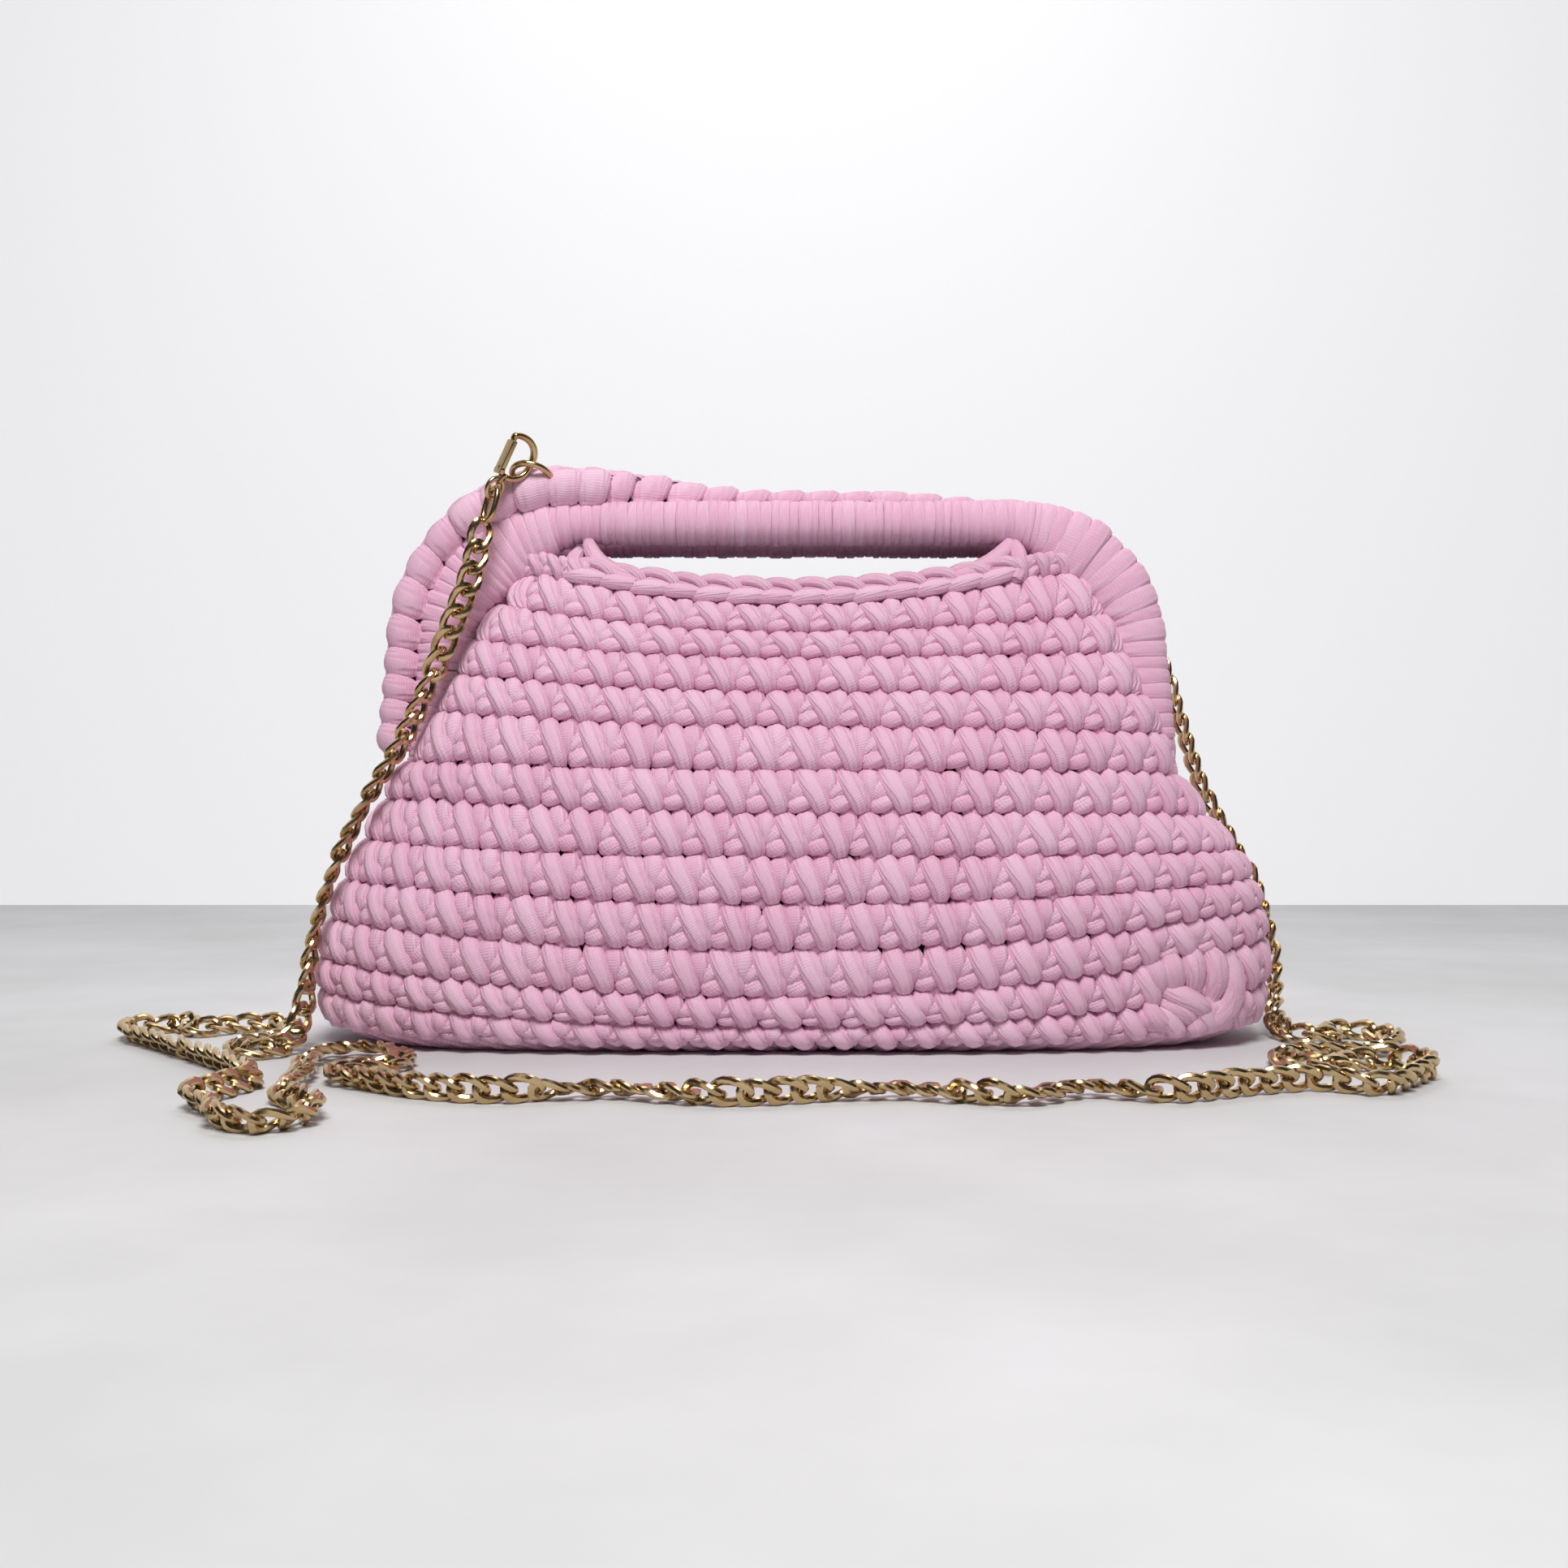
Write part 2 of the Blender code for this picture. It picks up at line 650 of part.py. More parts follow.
def in_clasp(along, across, over=0.0):
    return PIVOT + GATE_AXIS * along + HOOK_SIDE * across + PIN_AXIS * over


def box_in_clasp(name, along, across, over):
    """A box whose three ranges run along the gate, across the clasp and along its pin."""
    bm = bmesh.new()
    corners = {}
    for i in range(2):
        for j in range(2):
            for k in range(2):
                corners[i, j, k] = bm.verts.new(in_clasp(along[i], across[j], over[k]))
    for axis in range(3):
        for end in range(2):
            square = []
            for u, v in ((0, 0), (0, 1), (1, 1), (1, 0)):
                key = [u, v]
                key.insert(axis, end)
                square.append(corners[tuple(key)])
            bm.faces.new(square)
    return mesh_of(bm, name)


def pin_in_clasp(name, radius, half_length, sides=10):
    """A round pin or hole along the pivot's axis."""
    rings = []
    for over in (-half_length, half_length):
        rings.append(ellipse(in_clasp(0, 0, over), GATE_AXIS, HOOK_SIDE, radius, radius, sides))
    return swept(name, rings)


def add_hook(material):
    """Hook wire with an eye below it and a tongue drilled for the gate's pin."""
    line = [in_clasp(along * HOOK_LENGTH, across * HOOK_WIDTH) for along, across in HOOK_LINE]
    rings = []
    for k, place in enumerate(line):
        forward = (line[min(k + 1, len(line) - 1)] - line[max(k - 1, 0)]).normalized()
        rings.append(ellipse(place, forward.cross(PIN_AXIS), PIN_AXIS, HOOK_WIRE, HOOK_WIRE * 1.3, 8))
    hook = add_mesh("clasp_hook", swept("hook", rings), material)
    half_tongue = TONGUE_WIDTH / 2
    reach = GATE_THICKNESS * 0.8
    tongue_range = (-HOOK_LENGTH * 0.16, reach)
    tongue = box_in_clasp("tongue", tongue_range, (-reach * 0.6, HOOK_WIDTH * 0.33), (-half_tongue, half_tongue))
    boolean(hook, add_cutter("tongue", tongue), "UNION")
    hole = pin_in_clasp("pin_hole", PIN_RADIUS + CLEARANCE * 1.2, GATE_WIDTH)
    boolean(hook, add_cutter("pin_hole", hole))
    eye_centre = in_clasp(EYE_PLACE[0] * HOOK_LENGTH, EYE_PLACE[1] * HOOK_WIDTH)
    eye = ring_mesh("eye", eye_centre, HOOK_SIDE, GATE_AXIS, EYE_RADIUS, EYE_WIRE, stretch=1.25, around=16)
    boolean(hook, add_cutter("eye", eye), "UNION")
    neck_range = (-HOOK_LENGTH * 0.21, -HOOK_LENGTH * 0.115)
    neck_half = TONGUE_WIDTH * 0.9
    neck = box_in_clasp("neck", neck_range, (HOOK_WIDTH * 0.05, HOOK_WIDTH * 0.24), (-neck_half, neck_half))
    boolean(hook, add_cutter("neck", neck), "UNION")


def add_gate(material):
    """Flat bar with a slot for the tongue and a pin across the slot; its origin is on the pivot."""
    half = GATE_WIDTH / 2
    foot = GATE_THICKNESS * 0.8
    bar = box_in_clasp("gate", (-foot, GATE_LENGTH), (-GATE_THICKNESS / 2, GATE_THICKNESS / 2), (-half, half))
    gate = add_mesh("clasp_gate", bar, material, 30.0)
    slot_half = TONGUE_WIDTH / 2 + CLEARANCE
    slot_range = (-2 * foot, foot + 2 * CLEARANCE + GATE_THICKNESS * 0.3)
    slot = box_in_clasp("slot", slot_range, (-GATE_THICKNESS, GATE_THICKNESS), (-slot_half, slot_half))
    boolean(gate, add_cutter("slot", slot))
    pin = pin_in_clasp("pin", PIN_RADIUS, half - CLEARANCE)
    boolean(gate, add_cutter("pin", pin), "UNION")
    gate.data.transform(Matrix.Translation(-PIVOT))
    gate.location = PIVOT


def eye_middle():
    return in_clasp(EYE_PLACE[0] * HOOK_LENGTH, EYE_PLACE[1] * HOOK_WIDTH)


def link_down():
    """The long first link hangs from the eye towards the first place of the route."""
    return (Vector(CHAIN_ROUTE[0]) - eye_middle()).normalized()


def add_link(material):
    down = link_down()
    sideways = PIN_AXIS.cross(down).cross(down).normalized()
    half_length = LINK_LENGTH / 2 - LINK_WIRE
    half_width = LINK_WIDTH / 2 - LINK_WIRE
    centre = eye_middle() + down * half_length
    mesh = ring_mesh(
        "link", centre, sideways, down, half_width, LINK_WIRE, half_length / half_width, squareness=3.0
    )
    add_mesh("clasp_link", mesh, material)


def chain_start():
    """The chain begins where the long link ends."""
    return eye_middle() + link_down() * (LINK_LENGTH - LINK_WIRE + CLEARANCE)


def rear_clasp_start():
    """Middle of the clasp's wire where it passes through the rear ring."""
    return REAR_RING_CENTRE + REAR_CLASP_AXIS * (RING_RADIUS - RING_WIRE - HOOK_WIRE - CLEARANCE)


def chain_end():
    """The chain ends where the rear clasp does."""
    return rear_clasp_start() + REAR_CLASP_AXIS * (REAR_CLASP_LENGTH - HOOK_WIRE + CLEARANCE)


def smooth_route(points, count):
    """Evenly spaced points on a smooth curve through the route."""
    route = np.array(points)
    steps = np.linalg.norm(np.diff(route, axis=0), axis=1)
    place = np.concatenate([[0.0], np.cumsum(np.sqrt(steps))])
    fine = np.linspace(0.0, place[-1], 40 * len(route))
    curve = np.stack([smooth_read(place, route[:, k], fine) for k in range(3)], axis=1)
    length = np.concatenate([[0.0], np.cumsum(np.linalg.norm(np.diff(curve, axis=0), axis=1))])
    even = np.linspace(0.0, length[-1], count)
    return np.stack([np.interp(even, length, curve[:, k]) for k in range(3)], axis=1)


def add_chain(material):
    data = bpy.data.curves.new("chain", "CURVE")
    data.dimensions = "3D"
    data.bevel_depth = CHAIN_RADIUS
    data.bevel_resolution = 2
    data.use_fill_caps = True
    points = smooth_route([tuple(chain_start()), *CHAIN_ROUTE, tuple(chain_end())], CHAIN_POINTS)
    spline = data.splines.new("POLY")
    spline.points.add(len(points) - 1)
    spline.points.foreach_set("co", np.append(points, np.ones((len(points), 1)), axis=1).ravel())
    spline.use_smooth = True
    data.materials.append(material)
    chain = bpy.data.objects.new("chain", data)
    bpy.context.scene.collection.objects.link(chain)


def add_rear_clasp(material):
    """Plain closed clasp between the rear ring and the chain's end."""
    half_length = REAR_CLASP_LENGTH / 2 - HOOK_WIRE
    half_width = HOOK_WIDTH / 2 - HOOK_WIRE
    middle = rear_clasp_start() + REAR_CLASP_AXIS * half_length
    sideways = REAR_CLASP_AXIS.cross(REAR_CLASP_UP)
    stretch = half_length / half_width
    mesh = ring_mesh(
        "clasp", middle, sideways, REAR_CLASP_AXIS, half_width, HOOK_WIRE, stretch, squareness=2.5
    )
    add_mesh("rear_clasp", mesh, material)


def build():
    clear_scene()
    yarn = principled("Pink jersey yarn", YARN_COLOUR, 0.80, 0.0)
    gold = principled("Polished light gold", GOLD_COLOUR, 0.20, 1.0)

    pouch = add_mesh("pouch", pouch_mesh(), yarn)
    boolean(pouch, add_cutter("rim_cut", rim_cut_mesh()))

    sides = {"front": (-1, FRONT_TURN), "rear": (1, REAR_TURN)}
    edgings = {}
    for name, (side, turns) in sides.items():
        add_mesh(name + "_frame", frame_mesh(side), yarn)
        boolean(pouch, add_cutter(name + "_groove", frame_mesh(side, CLEARANCE)))
        edgings[name] = add_mesh(name + "_edging", edging_mesh(side, turns), yarn)
        boolean(pouch, add_cutter(name + "_nest", edging_mesh(side, turns, CLEARANCE)))
        add_mesh(name + "_braid", braid_mesh(side), yarn)

    rings = {
        "front": ("left_ring", LEFT_RING_CENTRE, RING_ACROSS, RING_UP),
        "rear": ("rear_ring", REAR_RING_CENTRE, REAR_CLASP_AXIS, REAR_CLASP_UP),
    }
    for name, (ring_name, centre, first, second) in rings.items():
        add_mesh(ring_name, ring_mesh(ring_name, centre, first, second, RING_RADIUS, RING_WIRE), gold)
        tunnel = ring_mesh("tunnel", centre, first, second, RING_RADIUS, RING_WIRE, extra=CLEARANCE)
        boolean(edgings[name], add_cutter(ring_name + "_tunnel", tunnel))

    add_hook(gold)
    add_gate(gold)
    add_link(gold)
    add_chain(gold)
    add_rear_clasp(gold)


build()
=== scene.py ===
# %% [markdown]
# # A crochet bag in jersey yarn
# The real object is a small handbag. Its pouch is worked in fat single crochet stitches from one
# long jersey strand, its two arch frames are wound with the same strand, and a gold chain with a
# snap clasp hangs from its top corner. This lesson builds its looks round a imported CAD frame. The
# frame gives the places, and every piece here stands for one of its nodes and rides on its body.

import json
import math

import bmesh
import bpy
import numpy as np
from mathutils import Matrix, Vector

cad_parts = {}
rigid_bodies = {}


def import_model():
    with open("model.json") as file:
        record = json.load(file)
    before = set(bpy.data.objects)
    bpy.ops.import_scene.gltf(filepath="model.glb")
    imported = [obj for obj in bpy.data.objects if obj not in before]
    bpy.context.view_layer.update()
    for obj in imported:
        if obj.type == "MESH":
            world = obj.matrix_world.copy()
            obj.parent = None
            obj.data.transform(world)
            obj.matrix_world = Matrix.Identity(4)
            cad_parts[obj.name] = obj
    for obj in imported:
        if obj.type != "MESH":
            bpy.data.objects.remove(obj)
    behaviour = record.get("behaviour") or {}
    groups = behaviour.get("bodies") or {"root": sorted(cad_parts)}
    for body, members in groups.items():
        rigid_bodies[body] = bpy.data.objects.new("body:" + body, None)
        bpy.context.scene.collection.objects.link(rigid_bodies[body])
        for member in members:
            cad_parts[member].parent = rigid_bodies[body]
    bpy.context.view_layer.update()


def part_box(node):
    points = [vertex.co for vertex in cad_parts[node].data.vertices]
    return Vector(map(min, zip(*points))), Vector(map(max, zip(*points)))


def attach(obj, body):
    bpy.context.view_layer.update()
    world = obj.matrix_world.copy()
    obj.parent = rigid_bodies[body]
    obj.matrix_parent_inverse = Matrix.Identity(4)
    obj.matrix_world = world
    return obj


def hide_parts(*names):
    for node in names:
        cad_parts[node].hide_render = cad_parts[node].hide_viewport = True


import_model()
MM = 0.001

# %% [markdown]
# ## Camera
# The photograph was taken level, from a little over half a metre, with the horizon across the
# middle of the frame. A focal length in pixels and Blender's sensor width give the lens.

# %% Set up the camera
IMAGE_PX = 1932
FOCAL_PX = 2091
SENSOR_MM = 36.0
CAMERA_PLACE = (0.0, -0.560, 0.0823)

camera_data = bpy.data.cameras.new("camera")
camera_data.sensor_width = SENSOR_MM
camera_data.lens = SENSOR_MM * FOCAL_PX / IMAGE_PX
camera_data.clip_start = 0.01
camera = bpy.data.objects.new("camera", camera_data)
camera.location = CAMERA_PLACE
camera.rotation_euler = (math.radians(90.0), 0.0, 0.0)
bpy.context.scene.collection.objects.link(camera)
bpy.context.scene.camera = camera
print(f"lens {camera_data.lens:.2f} mm")

# %% [markdown]
# ## Helpers for nodes and colours
# A material or a geometry tree is a list of nodes. One small function adds a node, gives it its
# settings, and fills its sockets with plain values or with links, so a tree reads from top to
# bottom. Colours are picked as sRGB hex values, as a paint program shows them, and the shader
# wants them linear.


# %% Add a node, turn hex to linear
def add(tree, kind, inputs=None, **settings):
    node = tree.nodes.new(kind)
    for name, value in settings.items():
        setattr(node, name, value)
    for key, value in (inputs or {}).items():
        sockets = [s for s in node.inputs if s.name == key and s.enabled]
        socket = node.inputs[key] if isinstance(key, int) else sockets[0]
        if isinstance(value, bpy.types.Node):
            value = next(s for s in value.outputs if s.enabled)
        if isinstance(value, bpy.types.NodeSocket):
            tree.links.new(value, socket)
        else:
            socket.default_value = value
    return node


def linear(code):
    channels = [int(code[k : k + 2], 16) / 255 for k in (1, 3, 5)]
    return (*[c / 12.92 if c <= 0.04045 else ((c + 0.055) / 1.055) ** 2.4 for c in channels], 1.0)


# %% [markdown]
# ## Jersey yarn
# The yarn is a strip of cotton jersey that has rolled into a soft tube. It is matt, with a faint
# bloom where light grazes it. The knit shows as fine ribs that cross the strand, two to a
# millimetre, and the roll leaves a few soft folds that run along it. Both live on the strand's own
# UV map: U goes once round the strand and V counts millimetres along it, so the ribs bend with every
# stitch. The colour also carries painted shade: it turns a darker pink in the rib valleys and along
# the fold creases. A second noise in Object coordinates fades the dye a little from place to place.


# %% Yarn material
def maths(tree, operation, *values, **settings):
    return add(tree, "ShaderNodeMath", dict(enumerate(values)), operation=operation, **settings)


def yarn_material(name, lit, deep, rib_mm=0.60, rib_share=0.15, fold_share=1.0):
    material = bpy.data.materials.new(name)
    material.use_nodes = True
    tree = material.node_tree
    shader = tree.nodes["Principled BSDF"]
    split = add(tree, "ShaderNodeSeparateXYZ", {"Vector": add(tree, "ShaderNodeUVMap", uv_map="strand")})
    place = add(tree, "ShaderNodeTexCoord").outputs["Object"]
    turn = maths(tree, "MULTIPLY", split.outputs["X"], math.tau)
    cosine, sine = maths(tree, "COSINE", turn), maths(tree, "SINE", turn)

    # The knit's rows climb a little round the strand. Four pitches a turn close on themselves
    wander = add(tree, "ShaderNodeTexNoise", {"Vector": place, "Scale": 110.0, "Detail": 1.0})
    drift = maths(tree, "MULTIPLY_ADD", wander.outputs[0], 2.2, split.outputs["Y"])
    climb = maths(tree, "MULTIPLY_ADD", split.outputs["X"], 4.0 * rib_mm, drift)
    rib = maths(tree, "SINE", maths(tree, "MULTIPLY", climb, math.tau / rib_mm))
    wale = maths(tree, "SINE", maths(tree, "MULTIPLY", turn, 26.0))
    knit = maths(tree, "MULTIPLY_ADD", wale, 0.22, rib)
    rib = add(tree, "ShaderNodeMapRange", {"Value": knit, "From Min": -1.1, "From Max": 0.9})

    # Folds run along the strand. Their noise is stretched that way, and read round a circle so that it closes
    length = maths(tree, "MULTIPLY", split.outputs["Y"], 0.050)
    round_strand = add(tree, "ShaderNodeCombineXYZ", {"X": cosine, "Y": sine, "Z": length})
    rolls = add(tree, "ShaderNodeTexNoise", {"Vector": round_strand, "Scale": 1.5, "Detail": 1.0})
    ridge = maths(tree, "ABSOLUTE", maths(tree, "SUBTRACT", rolls.outputs[0], 0.5))
    fold = add(tree, "ShaderNodeMapRange", {"Value": ridge, "From Max": 0.13}, interpolation_type="SMOOTHSTEP")
    swell = add(tree, "ShaderNodeMapRange", {"Value": rolls.outputs[0], "From Min": 0.30, "From Max": 0.70})

    # Loose fibres are a few hundredths of a millimetre thick. Their fuzz is drawn at 0.4 mm, so that it shows
    fuzz = add(tree, "ShaderNodeTexNoise", {"Vector": place, "Scale": 2600.0, "Detail": 2.0})
    dye = add(tree, "ShaderNodeTexNoise", {"Vector": place, "Scale": 22.0, "Detail": 2.0})
    tone = add(tree, "ShaderNodeAttribute", attribute_name="tone")
    height = maths(tree, "MULTIPLY", rib, rib_share)
    height = maths(tree, "MULTIPLY_ADD", fold, 0.42 * fold_share, height)
    height = maths(tree, "MULTIPLY_ADD", swell, 0.45 * fold_share, height)
    height = maths(tree, "MULTIPLY_ADD", fuzz.outputs[0], 0.10, height)
    bump = add(tree, "ShaderNodeBump", {"Height": height, "Strength": 0.8, "Distance": 0.0005})

    # Painted shade: the colour turns to the darker pink in the rib valleys and along the fold creases, while
    # tone and dye vary it at random
    shade = maths(tree, "MULTIPLY_ADD", rib, 1.3 * rib_share, 0.32 - 0.65 * rib_share)
    shade = maths(tree, "MULTIPLY_ADD", fold, 0.13, shade)
    shade = maths(tree, "MULTIPLY_ADD", tone.outputs["Fac"], 0.12, shade)
    shade = maths(tree, "MULTIPLY_ADD", dye.outputs[0], 0.16, shade, use_clamp=True)
    colour = add(tree, "ShaderNodeMix", {"Factor": shade, 6: linear(deep), 7: linear(lit)}, data_type="RGBA")
    rough = add(tree, "ShaderNodeMapRange", {"Value": fuzz.outputs[0], "To Min": 0.72, "To Max": 0.92})

    tree.links.new(colour.outputs[2], shader.inputs["Base Color"])
    tree.links.new(rough.outputs[0], shader.inputs["Roughness"])
    tree.links.new(bump.outputs[0], shader.inputs["Normal"])
    shader.inputs["IOR"].default_value = 1.45
    shader.inputs["Specular IOR Level"].default_value = 0.25
    shader.inputs["Sheen Weight"].default_value = 0.20
    shader.inputs["Sheen Roughness"].default_value = 0.45
    shader.inputs["Sheen Tint"].default_value = linear("#FBE3F0")
    return material


YARN_LIT, YARN_SHADE_AND_DYE = "#FADCEF", "#D584AB"
# Loose rolled cotton gives matt pink strands with fine ribs across them and soft creases along them; the rib
# valleys and the creases carry painted shade
YARN = yarn_material("Cotton jersey yarn, rolled", YARN_LIT, YARN_SHADE_AND_DYE)
# Wound tightly, the same strip is pulled smooth: its ribs are finer and fainter, and its folds shallower
WOUND_YARN = yarn_material(
    "Cotton jersey yarn, wound tight", YARN_LIT, YARN_SHADE_AND_DYE, rib_mm=0.55, rib_share=0.09, fold_share=0.7
)
print("materials:", YARN.name, "and", WOUND_YARN.name)

# %% [markdown]
# ## Gold plating
# The clasp and the chain are cast or stamped in zinc or steel, polished and plated in light gold.
# The plating is a mirror with a few soft scratches, and its colour is paler than pure gold. Round
# wire was pressed flat in places, which the chain's links show as facets.


# %% Gold material
def gold_material(name, bright, warm, roughness):
    material = bpy.data.materials.new(name)
    material.use_nodes = True
    tree = material.node_tree
    shader = tree.nodes["Principled BSDF"]
    place = add(tree, "ShaderNodeTexCoord").outputs["Object"]
    cloud = add(tree, "ShaderNodeTexNoise", {"Vector": place, "Scale": 90.0, "Detail": 3.0})
    scratch = add(tree, "ShaderNodeTexNoise", {"Vector": place, "Scale": 1400.0, "Detail": 4.0})
    tones = {"Factor": cloud.outputs[0], 6: linear(bright), 7: linear(warm)}
    colour = add(tree, "ShaderNodeMix", tones, data_type="RGBA")
    limits = {"Value": scratch.outputs[0], "To Min": roughness * 0.8, "To Max": roughness * 1.5}
    rough = add(tree, "ShaderNodeMapRange", limits)
    bump = add(tree, "ShaderNodeBump", {"Height": scratch.outputs[0], "Strength": 0.08, "Distance": 0.00005})
    tree.links.new(colour.outputs[2], shader.inputs["Base Color"])
    tree.links.new(rough.outputs[0], shader.inputs["Roughness"])
    tree.links.new(bump.outputs[0], shader.inputs["Normal"])
    shader.inputs["Metallic"].default_value = 1.0
    return material


# Polished plating gives small bright glints beside dark ones, in a pale and slightly warm yellow
GOLD = gold_material("Polished light gold plating", "#E0C99E", "#B39263", 0.18)
print("material:", GOLD.name)

# %% [markdown]
# ## One strand
# Nearly everything on this bag is a soft strand that bends: a stitch's leaf, a wrap of the winding,
# a link of the braid. So the mesh code starts with one function that sweeps an oval section along a
# path. The section has its own half width and half thickness at every point, which is what turns a
# tube into a leaf. The function also writes the UV map that the yarn's ribs need.


# %% Sweep an oval section along a path
def sweep(path, outward, wide, thick, sides=8, closed=False, square=2.3, pole=0.9):
    """(points, faces, uvs) of a strand. Outward is what its flat side faces; an open strand ends in poles."""
    path = np.asarray(path, float)
    count = len(path)
    outward = np.broadcast_to(np.asarray(outward, float), path.shape)
    wide = np.broadcast_to(np.asarray(wide, float), count)
    thick = np.broadcast_to(np.asarray(thick, float), count)
    if closed:
        tangent = np.roll(path, -1, 0) - np.roll(path, 1, 0)
    else:
        tangent = np.gradient(path, axis=0)
    tangent /= np.linalg.norm(tangent, axis=1)[:, None]
    side = np.cross(tangent, outward)
    side /= np.linalg.norm(side, axis=1)[:, None]
    up = np.cross(side, tangent)
    angle = math.tau * (np.arange(sides) + 0.5) / sides
    # A power under one squares the oval a little, as yarn is where it lies pressed between its neighbours
    over = np.sign(np.cos(angle)) * np.abs(np.cos(angle)) ** (2.0 / square)
    rise = np.sign(np.sin(angle)) * np.abs(np.sin(angle)) ** (2.0 / square)
    rings = (
        path[:, None]
        + side[:, None] * (wide[:, None] * over)[..., None]
        + up[:, None] * (thick[:, None] * rise)[..., None]
    )
    points = rings.reshape(-1, 3)
    steps = np.linalg.norm(np.diff(np.vstack([path, path[:1]]), axis=0), axis=1) / MM
    length = np.concatenate([[0.0], np.cumsum(steps)])
    faces, uvs = [], []
    for i in range(count if closed else count - 1):
        j = (i + 1) % count
        for k in range(sides):
            m = (k + 1) % sides
            faces.append((i * sides + k, j * sides + k, j * sides + m, i * sides + m))
            low, high = k / sides, (k + 1) / sides
            uvs.append(((low, length[i]), (low, length[i + 1]), (high, length[i + 1]), (high, length[i])))
    if not closed:
        for end, sign in ((0, -1), (count - 1, 1)):
            tip = path[end] + sign * tangent[end] * thick[end] * pole
            points = np.vstack([points, tip])
            for k in range(sides):
                m = (k + 1) % sides
                corners = (end * sides + k, end * sides + m)
                one, two = corners if sign > 0 else corners[::-1]
                faces.append((one, two, len(points) - 1))
                low, high, beyond = k / sides, (k + 1) / sides, length[end] + sign
                uvs.append(((low, length[end]), (high, length[end]), (low, beyond)))
    return points, faces, uvs


def mesh_of(name, strands, gap_mm=37.0):
    """One mesh from several strands. Each starts at its own V, so that no two wear the same creases."""
    points, faces, uvs = [], [], []
    for number, (own_points, own_faces, own_uvs) in enumerate(strands):
        start = sum(len(p) for p in points)
        points.append(own_points)
        faces += [tuple(start + k for k in face) for face in own_faces]
        uvs += [[(u, v + number * gap_mm) for u, v in face] for face in own_uvs]
    mesh = bpy.data.meshes.new(name)
    mesh.from_pydata(np.vstack(points).tolist(), [], faces)
    layer = mesh.uv_layers.new(name="strand")
    layer.data.foreach_set("uv", np.array([c for face in uvs for c in face], np.float32).ravel())
    mesh.shade_smooth()
    return mesh


def add_object(name, mesh):
    piece = bpy.data.objects.new(name, mesh)
    bpy.context.scene.collection.objects.link(piece)
    return piece


def smooth_read(places, values, at):
    """Reads a table with a smooth curve through its values."""
    places, values = np.asarray(places, float), np.asarray(values, float)
    slopes = np.gradient(values, places, axis=0)
    at = np.clip(at, places[0], places[-1])
    span = np.clip(np.searchsorted(places, at, side="right") - 1, 0, len(places) - 2)
    width = places[span + 1] - places[span]
    share = (at - places[span]) / width
    if values.ndim > 1:
        width, share = width[..., None], share[..., None]
    square, cube = share**2, share**3
    return (
        (2 * cube - 3 * square + 1) * values[span]
        + (cube - 2 * square + share) * width * slopes[span]
        + (3 * square - 2 * cube) * values[span + 1]
        + (cube - square) * width * slopes[span + 1]
    )


def finer(table, steps):
    """The table's rows with more rows between them, on a smooth curve."""
    table = np.asarray(table, float)
    return smooth_read(np.arange(len(table)), table, np.linspace(0, len(table) - 1, steps))


# %% [markdown]
# ## The pouch's surface
# The stitches need a surface to sit on. It is the CAD pouch's own form, given as sections: at each
# height a half width to the left and to the right, a half depth, and an exponent that squares the
# oval. A place on it has two coordinates. The first goes once round the bag from the middle of the
# front, as a share of the way. The second counts crochet rows up from the floor, and below zero it
# runs in under the base.

# %% Sections and rows
# height, left, right, half depth in mm, squareness
SECTIONS = np.array((
    (0.0, 139.5, 144.0, 42.5, 3.2),
    (3.0, 145.5, 150.5, 47.6, 3.2),
    (9.2, 149.3, 155.0, 50.4, 3.2),
    (22.0, 152.1, 157.9, 51.7, 3.1),
    (34.3, 150.4, 157.6, 52.5, 3.0),
    (46.2, 146.5, 155.3, 52.8, 3.0),
    (62.0, 139.5, 148.0, 51.7, 3.0),
    (74.8, 133.0, 137.5, 49.9, 3.0),
    (88.0, 125.5, 128.5, 47.3, 3.6),
    (100.0, 118.5, 125.0, 44.0, 4.2),
    (114.9, 110.0, 117.5, 39.2, 5.0),
    (129.8, 103.0, 111.0, 33.6, 5.4),
    (144.7, 93.0, 104.0, 28.0, 5.4),
    (158.85, 80.0, 90.0, 24.5, 5.0),
))
# The grooves between rows, from the floor up: where a row ends on the left in mm from the middle, its
# height in mm there, in the middle and at its right end, and how far out that end is
ROW_LINES = np.array((
    (146.0, 4.0, 0.0, 4.0, 150.0),
    (151.0, 17.5, 8.3, 19.0, 154.0),
    (153.0, 28.5, 18.3, 34.0, 156.0),
    (152.0, 41.4, 32.3, 44.3, 156.0),
    (149.0, 54.2, 46.6, 53.6, 153.0),
    (143.0, 67.2, 60.9, 63.0, 148.0),
    (133.0, 79.5, 74.4, 74.0, 140.0),
    (123.0, 91.0, 87.5, 86.6, 129.0),
    (107.0, 106.2, 101.2, 99.0, 117.0),
    (102.0, 118.0, 112.1, 111.9, 110.0),
    (96.0, 129.0, 123.0, 124.8, 105.0),
    (84.0, 139.6, 131.1, 137.3, 99.0),
    (67.0, 148.3, 140.2, 148.3, 72.0),
))
# Where each row of a panel ends in front of the frame's legs, in mm from the middle
PANEL_ENDS = ((-114.0, 122.0), (-107.0, 116.0), (-101.0, 109.0), (-94.0, 104.0), (-82.0, 97.0))
BASE_ROWS = 3
TOP_ROW = len(ROW_LINES) - 1
RING_STEPS = 480
HEIGHT_STEPS = 200


